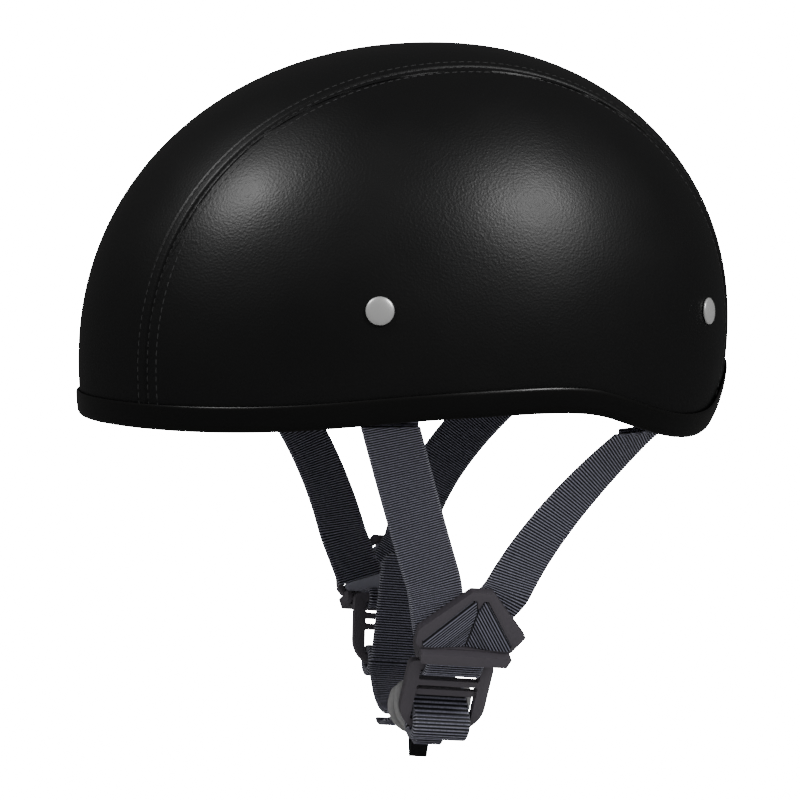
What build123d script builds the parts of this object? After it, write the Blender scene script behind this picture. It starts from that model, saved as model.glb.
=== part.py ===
from build123d import *
import math
import os

os.makedirs("parts", exist_ok=True)

# Half shell motorcycle helmet. X points forward, Y to the wearer's left, Z up.
# The origin is the seat of the head: the underside of the crown pad.
# A depth is measured down from the crown of the leather.

# Form of the helmet, at the outside of the leather
front_reach = 151.8
rear_reach = 128.2
half_width = 112.0
front_form_depth = 134.4
rear_form_depth = 116.6
side_form_depth = 128.0
front_fullness_share = 2.103
rear_fullness_share = 2.074
side_fullness_share = 2.15
loft_depth = 178.0
section_count = 10

# Layers, from the outside in
leather_wall = 1.2
shell_wall = 4.0
foam_wall = 19.0
lining_wall = 1.0
pad_wall = 6.0
layer_gap = 0.1
seat_gap = 0.2
soft_gap = 0.3
overrun = 12.0

# Rim: places along X as shares of the front reach, depths as shares of the rim depth
rim_depth = 154.5
rim_shares = (
    (1.10, 1.000),
    (0.77, 1.000),
    (0.52, 0.986),
    (0.31, 0.967),
    (0.02, 0.953),
    (-0.14, 0.954),
    (-0.23, 0.966),
    (-0.32, 0.993),
    (-0.44, 1.031),
    (-0.53, 1.050),
    (-0.62, 1.054),
    (-0.69, 1.034),
    (-0.74, 0.990),
    (-0.79, 0.950),
    (-0.87, 0.934),
    (-1.00, 0.932),
)

# Edge trim: a U section of rubber over the rim
trim_wall = 1.3
trim_height = 10.3
trim_inner_leg = 7.5
foam_rise = 8.4
lining_fold = 0.9
lining_fold_inset = 11.5

# Seams between the three leather panels
seam_place = 52.0
seam_gap = 0.4

# Comfort pads on the lining
crown_pad_length = 128.0
crown_pad_width = 88.0
brow_pad_width = 128.0
brow_pad_height = 30.0
temple_pad_length = 84.0
temple_pad_height = 30.0
nape_pad_width = 108.0
nape_pad_height = 30.0
pad_corner = 10.0
pad_rise = 2.0

# Rivets that hold the strap ends
front_rivet_x = 54.2
front_rivet_depth = 106.4
rear_rivet_x = -94.1
rear_rivet_depth = 111.1
rivet_head = 11.0
rivet_head_height = 1.8
rivet_shank = 5.0
rivet_bore_play = 0.4
clench_head = 9.0
clench_height = 1.2
washer_diameter = 14.0
washer_thickness = 1.0
washer_seat = 8.2
pocket_diameter = 17.0
pocket_inset = 12.0
curve_probe = 0.05

# Webbing
webbing_width = 22.5
webbing_thickness = 1.6
chin_width = 25.0
strap_end_overlap = 14.0
strap_drift = 5.4
strap_drift_share = 4
recess_play = 0.6
front_exit_x = 48.0
front_exit_depth = 151.0
rear_exit_x = -63.0
rear_exit_depth = 158.0
hinge_gap = 1.6

# Low unit: yokes and ladder frames hang in one plane tilted front up
low_x = 5.0
low_depth = 250.0
low_tilt_angle = 7.0

# Yoke: the triangular divider that both straps pass through
yoke_y = 59.4
yoke_height_place = 0.3
yoke_lean_angle = 27.5
yoke_half_width = 22.4
yoke_height = 29.6
yoke_wall = 3.6
yoke_outline_shares = (
    (0.21, 1.0),
    (1.0, 0.31),
    (0.98, 0.085),
    (0.89, 0.0),
    (-0.89, 0.0),
    (-0.97, 0.11),
    (-1.09, 0.29),
    (-0.21, 1.0),
)
yoke_window_shares = (
    (0.83, 0.03),
    (0.87, 0.12),
    (0.15, 0.865),
    (0.07, 0.865),
    (0.0, 0.70),
    (-0.07, 0.865),
    (-0.15, 0.865),
    (-0.87, 0.12),
    (-0.83, 0.03),
)
yoke_corner = 0.8
cross_bar_half_width = 20.0
cross_bar_taper = 1.4
cross_bar_height = 5.0
cross_bar_proud = 3.8
cross_bar_edge = 0.7
rear_bar_drop = 2.5
rear_bar_inboard = 7.4
rear_bar_diameter = 3.0
rear_lug_place = 17.5
rear_lug_wall = 2.0
rear_lug_radius = 2.6
roll_proud = 0.8

# Where the straps reach the yoke, in its own plane
front_entry_u = 19.8
front_entry_v = 28.9
front_end_u = 11.7
front_end_v = 7.0
rear_entry_u = -11.5
rear_entry_v = 26.5
rear_end_u = -4.0
rear_end_v = 12.5
front_bow_out = -1.3
rear_bow_forward = 7.0
rear_bow_out = 2.3
right_bow_out = 5.0
right_front_bow_back = 5.0
strap_section_count = 4

# Ladder frame: the adjuster under each yoke
frame_y = 45.1
frame_place = -6.7
frame_lean_angle = 16.8
frame_width = 37.2
frame_opening = 26.8
frame_wall = 3.6
frame_height = 32.5
frame_top_bar = 4.0
frame_first_slot = 4.8
frame_first_bar = 2.6
frame_second_slot = 2.3
frame_second_bar = 2.7
frame_second_bar_back = 1.2
frame_wide_slot = 11.1
frame_top_corner = 3.0
frame_bottom_corner = 12.0
frame_slot_corner = 1.0
right_frame_lift = 11.5
right_frame_inboard = 1.5

# Webbing between yoke and ladder frame
bar_play = 0.5

# Rings and the webbing that carries them
ring_wire = 4.0
ring_width = 34.5
ring_drop = 21.2
ring_corner = 3.5
ring_place_u = -0.5
inner_ring_y = 25.0
inner_ring_place = -21.5
inner_ring_lean_angle = 0.0
release_ring_y = 20.2
release_ring_place = -24.4
release_ring_lean_angle = 21.3
ring_play = 0.5
loop_bar_thickness = 3.2
loop_narrow_width = 19.6
loop_taper_from = 27.5
loop_taper_to = 31.0

# Pull tab on the release ring
tab_width = 8.0
tab_thickness = 0.7
tab_play = 0.8
tab_rise = 0.25
tab_out = 2.0
tab_drop = 10.5

# Chin strap: from the right ladder frame through both rings and back
chin_narrow_width = 12.0
chin_taper_from = 3.0
chin_taper_to = 11.0
chin_upper_route = ((-28.4, -24.0), (-25.5, -28.5), (-16.0, -36.0), (-1.0, -39.4), (13.0, -36.9))
chin_turn_y = 25.1
chin_turn_top = -37.7
chin_turn_bottom = -46.1
chin_lower_route = ((21.3, -44.3), (17.3, -40.8), (12.5, -39.0), (6.0, -40.6), (-2.0, -44.6), (-10.0, -44.5))

# Free end of the chin webbing at the right ladder frame
tail_y = 27.0
tail_bottom = -21.5
tail_height = 47.5
tail_corner = 5.0

quarter_angle = 90.0
half_angle = 180.0

crown_top = leather_wall + shell_wall + foam_wall + lining_wall + pad_wall + 4 * layer_gap
shell_outside = leather_wall + layer_gap
shell_inside = shell_outside + shell_wall
foam_outside = shell_inside + layer_gap
foam_inside = foam_outside + foam_wall
lining_outside = foam_inside + layer_gap
lining_inside = lining_outside + lining_wall
pad_outside = lining_inside + layer_gap
strap_outside = foam_outside
strap_inside = strap_outside + webbing_thickness
slot_outside = -seat_gap
slot_inside = shell_inside + seat_gap


def fullness(depth, form_depth, share, inset):
    """Share of the full reach of a layer at a depth: one quarter of a superellipse."""
    return (1 - abs((depth - form_depth) / (form_depth - inset)) ** share) ** (1 / share)


def layer_reaches(depth, inset, drift=0):
    """Front reach, rear reach and half width of a layer at a depth below the crown."""
    inward = drift * (depth / loft_depth) ** strap_drift_share
    front = (front_reach - inset) * fullness(depth, front_form_depth, front_fullness_share, inset)
    rear = (rear_reach - inset) * fullness(depth, rear_form_depth, rear_fullness_share, inset)
    side = (half_width - inset) * fullness(depth, side_form_depth, side_fullness_share, inset)
    return front - inward, rear - inward, side - inward


def side_reach(x, depth, inset, drift=0):
    """Half width of a layer at a place along X and a depth."""
    front, rear, side = layer_reaches(depth, inset, drift)
    reach = front if x > 0 else rear
    return side * math.sqrt(1 - (x / reach) ** 2)


def dome(inset, drift=0):
    """Solid dome inside a layer's surface: half ellipses lofted up to the crown."""
    sections = []
    for step in range(section_count, 0, -1):
        turn = math.pi / 2 * step / section_count
        depth = inset + (loft_depth - inset) * (1 - math.cos(turn))
        front, rear, side = layer_reaches(depth, inset, drift)
        with BuildSketch(Plane.XY.offset(crown_top - depth)) as section:
            with BuildLine():
                EllipticalCenterArc((0, 0), front, side, -quarter_angle, arc_size=half_angle)
                EllipticalCenterArc((0, 0), rear, side, quarter_angle, arc_size=half_angle)
            make_face()
        sections.append(section.sketch)
    with BuildPart() as body:
        loft(sections=[*sections, Vertex(0, 0, crown_top - inset)])
    return body.part


def rim_side(lift, above):
    """Block above or below the rim line, which is raised by lift."""
    far_depth = -2 * overrun if above else loft_depth + 2 * overrun
    far = crown_top - far_depth
    points = [(share_x * front_reach, crown_top - share_z * rim_depth + lift) for share_x, share_z in rim_shares]
    with BuildPart() as block:
        with BuildSketch(Plane.XZ):
            with BuildLine():
                Spline(*points)
                Polyline(points[-1], (points[-1][0], far), (points[0][0], far), points[0])
            make_face()
        extrude(amount=half_width + overrun, both=True)
    return block.part


def surface_plane(x, depth):
    """Plane on the left side of the leather, facing out, with its x axis down the surface."""
    def outside(px, py, pz):
        front, rear, side = layer_reaches(crown_top - pz, 0)
        reach = front if px > 0 else rear
        return (px / reach) ** 2 + (py / side) ** 2

    y = side_reach(x, depth, 0)
    z = crown_top - depth
    slope = Vector(
        outside(x + curve_probe, y, z) - outside(x - curve_probe, y, z),
        outside(x, y + curve_probe, z) - outside(x, y - curve_probe, z),
        outside(x, y, z + curve_probe) - outside(x, y, z - curve_probe),
    )
    return Plane(origin=(x, y, z), x_dir=(0, 0, -1), z_dir=slope.normalized())


def toward(plane, target):
    """The same plane, turned so that its x axis points at a target."""
    run = Vector(*target) - plane.origin
    run = run - plane.z_dir * run.dot(plane.z_dir)
    return Plane(origin=plane.origin, x_dir=run, z_dir=plane.z_dir)


strap_middle = (strap_outside + strap_inside) / 2
front_exit = Vector(
    front_exit_x,
    side_reach(front_exit_x, front_exit_depth, strap_middle, strap_drift),
    crown_top - front_exit_depth,
)
rear_exit = Vector(
    rear_exit_x,
    side_reach(rear_exit_x, rear_exit_depth, strap_middle, strap_drift),
    crown_top - rear_exit_depth,
)
front_rivet = toward(surface_plane(front_rivet_x, front_rivet_depth), front_exit)
rear_rivet = toward(surface_plane(rear_rivet_x, rear_rivet_depth), rear_exit)
left_rivets = [Location(front_rivet), Location(rear_rivet)]


def bore_rivets(diameter):
    """Holes for the rivets on both sides."""
    with BuildPart(mode=Mode.PRIVATE) as pins:
        with Locations(*left_rivets):
            Cylinder(diameter / 2, 2 * foam_wall)
        mirror(about=Plane.XZ)
    return pins.part


rivet_bores = bore_rivets(rivet_shank + rivet_bore_play)

# Leather: one dome skin, cut into three panels along the two long seams
with BuildPart() as leather:
    add(dome(0))
    add(dome(leather_wall), mode=Mode.SUBTRACT)
    add(rim_side(trim_wall + seat_gap, above=False), mode=Mode.SUBTRACT)
    add(rivet_bores, mode=Mode.SUBTRACT)

panel_block = 2 * (front_reach + overrun)
with BuildPart() as leather_centre_panel:
    add(leather.part)
    Box(panel_block, 2 * seam_place - seam_gap, 2 * loft_depth, mode=Mode.INTERSECT)
leather_centre_panel.part.label = "leather_centre_panel"
export_step(leather_centre_panel.part, "parts/leather_centre_panel.step")

with BuildPart() as leather_left_panel:
    add(leather.part)
    with Locations((0, seam_place + seam_gap / 2, 0)):
        Box(
            panel_block,
            half_width,
            2 * loft_depth,
            align=(Align.CENTER, Align.MIN, Align.CENTER),
            mode=Mode.INTERSECT,
        )
leather_left_panel.part.label = "leather_left_panel"
export_step(leather_left_panel.part, "parts/leather_left_panel.step")

with BuildPart() as leather_right_panel:
    mirror(leather_left_panel.part, about=Plane.XZ)
leather_right_panel.part.label = "leather_right_panel"
export_step(leather_right_panel.part, "parts/leather_right_panel.step")

# Hard shell
with BuildPart() as shell:
    add(dome(shell_outside))
    add(dome(shell_inside), mode=Mode.SUBTRACT)
    add(rim_side(trim_wall + seat_gap, above=False), mode=Mode.SUBTRACT)
    add(rivet_bores, mode=Mode.SUBTRACT)
shell.part.label = "shell"
export_step(shell.part, "parts/shell.step")

# Edge trim: the band between its outer and inner legs, less the slot that takes the rim
with BuildPart() as trim_slot:
    add(dome(slot_outside))
    add(rim_side(trim_wall, above=True), mode=Mode.INTERSECT)
with BuildPart() as inner_leg_core:
    add(dome(slot_inside))
    add(rim_side(trim_inner_leg, above=False), mode=Mode.INTERSECT)
with BuildPart() as edge_trim:
    add(dome(slot_outside - trim_wall))
    add(dome(slot_inside + trim_wall), mode=Mode.SUBTRACT)
    add(rim_side(0, above=False), mode=Mode.SUBTRACT)
    add(rim_side(trim_height, above=True), mode=Mode.SUBTRACT)
    add(trim_slot.part - inner_leg_core.part, mode=Mode.SUBTRACT)
edge_trim.part.label = "edge_trim"
export_step(edge_trim.part, "parts/edge_trim.step")

# Strap ends: strips that follow the inside of the shell from the rivets to the rim
with BuildPart() as strap_band:
    add(dome(strap_outside, strap_drift))
    add(dome(strap_inside, strap_drift), mode=Mode.SUBTRACT)
with BuildPart() as recess_band:
    add(dome(shell_inside - seat_gap))
    add(dome(strap_inside + recess_play, strap_drift), mode=Mode.SUBTRACT)


def strip_prism(rivet, target, play=0):
    """Block over a strip that runs from behind the rivet to past its exit."""
    run = (Vector(*target) - rivet.origin).length + overrun
    start = strap_end_overlap + play
    with BuildPart() as prism:
        with BuildSketch(rivet):
            with Locations(((run - start) / 2, 0)):
                Rectangle(run + start, webbing_width + 2 * play)
        extrude(amount=foam_wall, both=True)
    return prism.part


def strap_end(rivet, target):
    """Strip of webbing between shell and liner, cut level at its exit."""
    with BuildPart() as strip:
        add(strap_band.part)
        add(strip_prism(rivet, target), mode=Mode.INTERSECT)
        add(rivet_bores, mode=Mode.SUBTRACT)
        with Locations((0, 0, target.Z + hinge_gap / 2)):
            Box(
                panel_block,
                panel_block,
                loft_depth,
                align=(Align.CENTER, Align.CENTER, Align.MAX),
                mode=Mode.SUBTRACT,
            )
    return strip.part


def recess(rivet, target):
    """Channel in the liner round one strip, with a pocket for the washer."""
    with BuildPart() as channel:
        add(recess_band.part)
        add(strip_prism(rivet, target, recess_play), mode=Mode.INTERSECT)
        with BuildSketch(rivet.offset(-pocket_inset)):
            Circle(pocket_diameter / 2)
        extrude(amount=pocket_inset - shell_inside + layer_gap)
    return channel.part


def export_pair(part, name):
    """Write a left piece and its mirrored right piece."""
    part.label = "left_" + name
    export_step(part, "parts/left_" + name + ".step")
    with BuildPart() as other:
        mirror(part, about=Plane.XZ)
    other.part.label = "right_" + name
    export_step(other.part, "parts/right_" + name + ".step")


export_pair(strap_end(front_rivet, front_exit), "front_strap_end")
export_pair(strap_end(rear_rivet, rear_exit), "rear_strap_end")

# Impact liner of foam, with a channel for each strap end
with BuildPart() as impact_liner:
    add(dome(foam_outside))
    add(dome(foam_inside), mode=Mode.SUBTRACT)
    add(rim_side(foam_rise, above=False), mode=Mode.SUBTRACT)
    with BuildPart(mode=Mode.PRIVATE) as channels:
        add(recess(front_rivet, front_exit))
        add(recess(rear_rivet, rear_exit))
        mirror(about=Plane.XZ)
    add(channels.part, mode=Mode.SUBTRACT)
impact_liner.part.label = "impact_liner"
export_step(impact_liner.part, "parts/impact_liner.step")

# Cloth lining, folded outward under the foam
foam_zone = rim_side(foam_rise - layer_gap, above=True) - dome(lining_outside)
with BuildPart() as lining_cloth:
    add(dome(lining_fold_inset))
    add(dome(lining_inside), mode=Mode.SUBTRACT)
    add(rim_side(foam_rise - layer_gap - lining_fold, above=False), mode=Mode.SUBTRACT)
    add(foam_zone, mode=Mode.SUBTRACT)
lining_cloth.part.label = "lining_cloth"
export_step(lining_cloth.part, "parts/lining_cloth.step")

# Comfort pads: pieces of one soft layer, cut out by rounded blocks
with BuildPart() as pad_layer:
    add(dome(pad_outside))
    add(dome(crown_top), mode=Mode.SUBTRACT)
    add(rim_side(foam_rise + pad_rise, above=False), mode=Mode.SUBTRACT)

pad_middle_depth = rim_depth - foam_rise - pad_rise - brow_pad_height / 2

with BuildPart() as crown_pad:
    add(pad_layer.part)
    with BuildSketch(Plane.XY) as crown_outline:
        Ellipse(crown_pad_length / 2, crown_pad_width / 2)
    extrude(to_extrude=crown_outline.sketch, amount=loft_depth, both=True, mode=Mode.INTERSECT)
crown_pad.part.label = "crown_pad"
export_step(crown_pad.part, "parts/crown_pad.step")


def end_pad(width, height, rise, direction):
    """Pad across the brow or the nape, cut by a rounded block along X."""
    plane = Plane(origin=(0, 0, crown_top - rise), x_dir=(0, 1, 0), z_dir=(direction, 0, 0))
    with BuildPart() as pad:
        add(pad_layer.part)
        with BuildSketch(plane) as outline:
            RectangleRounded(width, height, pad_corner)
        extrude(to_extrude=outline.sketch, amount=front_reach, mode=Mode.INTERSECT)
    return pad.part


brow_pad = end_pad(brow_pad_width, brow_pad_height, pad_middle_depth, 1)
brow_pad.label = "brow_pad"
export_step(brow_pad, "parts/brow_pad.step")

nape_pad = end_pad(nape_pad_width, nape_pad_height, pad_middle_depth - nape_pad_height / 4, -1)
nape_pad.label = "nape_pad"
export_step(nape_pad, "parts/nape_pad.step")

with BuildPart() as temple_pad:
    add(pad_layer.part)
    with BuildSketch(Plane(origin=(0, 0, crown_top - pad_middle_depth), x_dir=(1, 0, 0), z_dir=(0, 1, 0))) as outline:
        RectangleRounded(temple_pad_length, temple_pad_height, pad_corner)
    extrude(to_extrude=outline.sketch, amount=half_width, mode=Mode.INTERSECT)
export_pair(temple_pad.part, "temple_pad")

# Rivets and washers
clench_seat = -washer_seat - washer_thickness
clench_end = clench_seat - clench_height
head_edge = rivet_head_height / 3
head_rise = rivet_head_height - head_edge
head_radius = ((rivet_head / 2) ** 2 + head_rise ** 2) / (2 * head_rise)
with BuildPart() as one_rivet:
    with BuildSketch(Plane.XZ):
        with BuildLine():
            Polyline(
                (0, rivet_head_height),
                (0, clench_end),
                (clench_head / 2, clench_end),
                (clench_head / 2, clench_seat),
                (rivet_shank / 2, clench_seat),
                (rivet_shank / 2, curve_probe),
                (rivet_head / 2, curve_probe),
                (rivet_head / 2, head_edge),
            )
            RadiusArc((rivet_head / 2, head_edge), (0, rivet_head_height), -head_radius)
        make_face()
    revolve(axis=Axis.Z)

with BuildPart() as strap_rivets:
    with Locations(*left_rivets):
        add(one_rivet.part)
    mirror(about=Plane.XZ)
strap_rivets.part.label = "strap_rivets"
export_step(strap_rivets.part, "parts/strap_rivets.step")

with BuildPart() as rivet_washers:
    with BuildSketch(front_rivet.offset(-washer_seat), rear_rivet.offset(-washer_seat)):
        Circle(washer_diameter / 2)
        Circle((rivet_shank + rivet_bore_play) / 2, mode=Mode.SUBTRACT)
    extrude(amount=-washer_thickness)
    mirror(about=Plane.XZ)
rivet_washers.part.label = "rivet_washers"
export_step(rivet_washers.part, "parts/rivet_washers.step")

# Low unit: its own axes are along (across the view), left (y) and up (w)
tilt = math.radians(low_tilt_angle)
low_along = Vector(math.cos(tilt), 0, math.sin(tilt))
low_up = Vector(-math.sin(tilt), 0, math.cos(tilt))
low_origin = Vector(low_x, 0, crown_top - low_depth)
side_plane = Plane(origin=low_origin, x_dir=(0, 1, 0), z_dir=low_along)


def low_point(y, w, u=0):
    """Point of the low unit."""
    return low_origin + Vector(0, y, 0) + low_up * w + low_along * u


def low_direction(y, w):
    """Direction of the low unit."""
    return Vector(0, y, 0) + low_up * w


yoke_lean = math.radians(yoke_lean_angle)
yoke_up = low_direction(math.sin(yoke_lean), math.cos(yoke_lean))
yoke_inboard = low_direction(-math.cos(yoke_lean), math.sin(yoke_lean))
yoke_plane = Plane(origin=low_point(yoke_y, yoke_height_place), x_dir=low_along, z_dir=yoke_inboard)
rear_bar_y = yoke_y - rear_bar_drop * math.sin(yoke_lean) - rear_bar_inboard * math.cos(yoke_lean)
rear_bar_w = yoke_height_place - rear_bar_drop * math.cos(yoke_lean) + rear_bar_inboard * math.sin(yoke_lean)


def yoke_points(shares):
    """Places in the yoke's plane from shares of its half width and height."""
    return [(share_u * yoke_half_width, share_v * yoke_height) for share_u, share_v in shares]


with BuildPart() as yoke:
    with BuildSketch(yoke_plane):
        with BuildLine():
            Polyline(*yoke_points(yoke_outline_shares), close=True)
        make_face()
        fillet(vertices(), yoke_corner)
        with BuildSketch(mode=Mode.PRIVATE) as window:
            with BuildLine():
                Polyline(*yoke_points(yoke_window_shares), close=True)
            make_face()
            fillet(window.vertices(), yoke_corner / 2)
        add(window.sketch, mode=Mode.SUBTRACT)
    extrude(amount=yoke_wall)
    with BuildSketch(yoke_plane.offset(-cross_bar_proud)):
        low_half = cross_bar_half_width - cross_bar_taper
        with BuildLine():
            Polyline(
                (-cross_bar_half_width, 0),
                (cross_bar_half_width, 0),
                (low_half, -cross_bar_height),
                (-low_half, -cross_bar_height),
                close=True,
            )
        make_face()
        fillet(vertices(), cross_bar_edge)
    extrude(amount=cross_bar_proud + yoke_wall)
    for lug_side in (-1, 1):
        lug_start = low_along * (lug_side * (rear_lug_place + rear_lug_wall / 2))
        with BuildSketch(Plane(origin=side_plane.origin + lug_start, x_dir=(0, 1, 0), z_dir=low_along)):
            plate_low = yoke_plane.origin - low_origin - yoke_up * rear_bar_drop * 2 + yoke_inboard * yoke_wall / 2
            plate_top = yoke_plane.origin - low_origin + yoke_inboard * yoke_wall / 2
            with Locations((rear_bar_y, rear_bar_w)):
                Circle(rear_lug_radius)
            for corner in (plate_low, plate_top):
                with Locations((corner.Y, corner.dot(low_up))):
                    Circle(yoke_wall / 4)
            make_hull()
        extrude(amount=rear_lug_wall / 2, both=True)
    with BuildSketch(side_plane):
        with Locations((rear_bar_y, rear_bar_w)):
            Circle(rear_bar_diameter / 2)
    extrude(amount=rear_lug_place, both=True)
export_pair(yoke.part, "yoke")


def roll(side):
    """Fold of one strap in its half of the yoke's window, side 1 in front and -1 behind."""
    with BuildPart() as fold:
        with BuildSketch(yoke_plane.offset(-roll_proud)):
            with BuildLine():
                Polyline(*yoke_points(yoke_window_shares), close=True)
            make_face()
            offset(amount=-soft_gap, kind=Kind.INTERSECTION, mode=Mode.REPLACE)
            with Locations((-side * (yoke_half_width - soft_gap / 2), yoke_height / 2)):
                Rectangle(2 * yoke_half_width, 2 * yoke_height, mode=Mode.SUBTRACT)
        extrude(amount=roll_proud + yoke_wall + soft_gap + webbing_thickness / 2)
    return fold.part


def strap(exit_point, width_way, entry, end, bow, side):
    """Webbing from its exit at the rim to the yoke: a loft along a bowed line, then a flat end."""
    layer = yoke_wall + soft_gap + webbing_thickness / 2
    entry_point = yoke_plane.from_local_coords((*entry, layer))
    end_point = yoke_plane.from_local_coords((*end, layer))
    end_way = (end_point - entry_point).normalized()
    flat_way = yoke_plane.z_dir.cross(end_way).normalized()
    chord = entry_point - exit_point
    sections = []
    for step in range(-1, strap_section_count + 1):
        share = step / strap_section_count
        place = exit_point + chord * share + bow * (4 * share * (1 - share))
        run = chord + bow * (4 * (1 - 2 * share))
        if step == strap_section_count:
            run = end_way
        turn = min(max(share, 0), 1)
        way = width_way * (1 - turn) + flat_way * turn
        with BuildSketch(Plane(origin=place, x_dir=way, z_dir=run)) as section:
            Rectangle(webbing_width, webbing_thickness)
        sections.append(section.sketch)
    with BuildPart() as webbing:
        loft(sections=sections)
        with BuildSketch(Plane(origin=entry_point, x_dir=flat_way, z_dir=end_way)):
            Rectangle(webbing_width, webbing_thickness)
        extrude(amount=(end_point - entry_point).length)
        add(roll(side))
        with BuildSketch(Plane(origin=low_point(0, 0, -side * (yoke_half_width - soft_gap / 2)), x_dir=low_along,
                               z_dir=low_up)):
            Rectangle(2 * yoke_half_width, 4 * half_width)
        extrude(amount=2 * yoke_height, both=True, mode=Mode.SUBTRACT)
        with Locations((0, 0, exit_point.Z - hinge_gap / 2)):
            Box(
                panel_block,
                panel_block,
                loft_depth,
                align=(Align.CENTER, Align.CENTER, Align.MIN),
                mode=Mode.SUBTRACT,
            )
    return webbing.part


def rim_way(plane):
    """Level direction along the shell at a rivet's plane, pointing forward."""
    way = plane.z_dir.cross(Vector(0, 0, 1))
    return way if way.X > 0 else way * -1


def export_one(part, name):
    """Write one piece."""
    part.label = name
    export_step(part, "parts/" + name + ".step")


def mirrored(part):
    """The same piece on the right."""
    with BuildPart() as other:
        mirror(part, about=Plane.XZ)
    return other.part


front_way = rim_way(surface_plane(front_exit_x, front_exit_depth))
rear_way = rim_way(surface_plane(rear_exit_x, rear_exit_depth))
front_entry = (front_entry_u, front_entry_v)
front_end = (front_end_u, front_end_v)
rear_entry = (rear_entry_u, rear_entry_v)
rear_end = (rear_end_u, rear_end_v)
export_one(
    strap(front_exit, front_way, front_entry, front_end, Vector(0, front_bow_out, 0), 1),
    "left_front_strap",
)
export_one(
    strap(rear_exit, rear_way, rear_entry, rear_end, Vector(rear_bow_forward, rear_bow_out, 0), -1),
    "left_rear_strap",
)
right_front = strap(
    front_exit,
    front_way,
    front_entry,
    front_end,
    Vector(-right_front_bow_back, right_bow_out, 0),
    1,
)
export_one(mirrored(right_front), "right_front_strap")
right_rear = strap(
    rear_exit,
    rear_way,
    rear_entry,
    rear_end,
    Vector(rear_bow_forward, right_bow_out, 0),
    -1,
)
export_one(mirrored(right_rear), "right_rear_strap")

# Ladder frames
frame_lean = math.radians(frame_lean_angle)


def frame_place_at(drop, raised, inward):
    """Place (y, w) of a point in the middle of a ladder frame's wall, by its drop along the frame."""
    y = frame_y - inward - drop * math.sin(frame_lean)
    w = frame_place + raised - drop * math.cos(frame_lean)
    return y, w


second_bar_top = frame_top_bar + frame_first_slot + frame_first_bar + frame_second_slot
wide_slot_top = second_bar_top + frame_second_bar
bottom_bar_top = wide_slot_top + frame_wide_slot
frame_bottom_bar = frame_height - bottom_bar_top
bottom_bar_drop = bottom_bar_top + frame_bottom_bar / 2


def ladder_frame(raised, inward):
    """Plastic frame with four bars; the third bar stands back from the face."""
    y, w = frame_place_at(0, raised, inward)
    middle = Plane(
        origin=low_point(y, w),
        x_dir=low_along,
        z_dir=low_direction(-math.cos(frame_lean), math.sin(frame_lean)),
    )
    plane = middle.offset(-frame_wall / 2)
    slots = (
        (frame_top_bar, frame_first_slot),
        (frame_top_bar + frame_first_slot + frame_first_bar, frame_second_slot),
        (wide_slot_top, frame_wide_slot),
    )
    with BuildPart() as body:
        with BuildSketch(plane):
            with Locations((0, -frame_height / 2)):
                Rectangle(frame_width, frame_height)
            fillet(vertices().group_by(Axis.Y)[-1], frame_top_corner)
            fillet(vertices().group_by(Axis.Y)[0], frame_bottom_corner)
            for top, height in slots:
                with Locations((0, -top - height / 2)):
                    RectangleRounded(frame_opening, height, frame_slot_corner, mode=Mode.SUBTRACT)
        extrude(amount=frame_wall)
        with BuildSketch(plane):
            with Locations((0, -second_bar_top - frame_second_bar / 2)):
                Rectangle(frame_opening, frame_second_bar)
        extrude(amount=frame_second_bar_back, mode=Mode.SUBTRACT)
    return body.part


export_one(ladder_frame(0, 0), "left_ladder_frame")
export_one(mirrored(ladder_frame(right_frame_lift, right_frame_inboard)), "right_ladder_frame")


def webbing_loop(rounds):
    """Flat webbing loop round bars: the hull of circles less the hull of smaller ones."""
    with BuildPart() as loop:
        with BuildSketch(side_plane):
            for place, radius, thickness in rounds:
                with Locations(place):
                    Circle(radius + thickness)
            make_hull()
            with BuildSketch(mode=Mode.PRIVATE) as hollow:
                for place, radius, thickness in rounds:
                    with Locations(place):
                        Circle(radius)
                make_hull()
            add(hollow.sketch, mode=Mode.SUBTRACT)
        extrude(amount=chin_width / 2, both=True)
    return loop.part


def plan_block(stations):
    """Block that is, seen along the low unit's height, as wide as given at each place across."""
    one_side = [(y, width / 2) for y, width in stations]
    other_side = [(y, -width / 2) for y, width in reversed(stations)]
    with BuildPart() as block:
        with BuildSketch(Plane(origin=low_origin, x_dir=(0, 1, 0), z_dir=low_up * -1)):
            with BuildLine():
                Polyline(*one_side, *other_side, close=True)
            make_face()
        extrude(amount=2 * half_width)
    return block.part


def top_bar_place(raised, inward):
    """Centre of a ladder frame's top bar."""
    return frame_place_at(frame_top_bar / 2, raised, inward)


def bottom_bar_place(raised, inward):
    """Centre of a ladder frame's bottom bar."""
    return frame_place_at(bottom_bar_drop, raised, inward)


def link_webbing(raised, inward):
    """Loop from the yoke's rear bar round the ladder frame's top bar."""
    return webbing_loop((
        (top_bar_place(raised, inward), top_bar_radius, webbing_thickness),
        ((rear_bar_y, rear_bar_w), rear_bar_diameter / 2 + soft_gap, webbing_thickness),
    ))


top_bar_radius = math.hypot(frame_top_bar, frame_wall) / 2 + bar_play
export_one(link_webbing(0, 0), "left_link_webbing")
export_one(mirrored(link_webbing(right_frame_lift, right_frame_inboard)), "right_link_webbing")

# Loop that carries the rings on the left ladder frame's bottom bar
bottom_bar_radius = math.hypot(frame_bottom_bar, frame_wall) / 2 + bar_play
ring_bore = ring_wire / 2 + ring_play
with BuildPart() as ring_loop:
    add(webbing_loop((
        (bottom_bar_place(0, 0), bottom_bar_radius, loop_bar_thickness),
        ((inner_ring_y, inner_ring_place), ring_bore, webbing_thickness),
        ((release_ring_y, release_ring_place), ring_bore, webbing_thickness),
    )))
    add(
        plan_block((
            (0, loop_narrow_width),
            (loop_taper_from, loop_narrow_width),
            (loop_taper_to, chin_width),
            (half_width, chin_width),
        )),
        mode=Mode.INTERSECT,
    )
export_one(ring_loop.part, "ring_loop")


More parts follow.
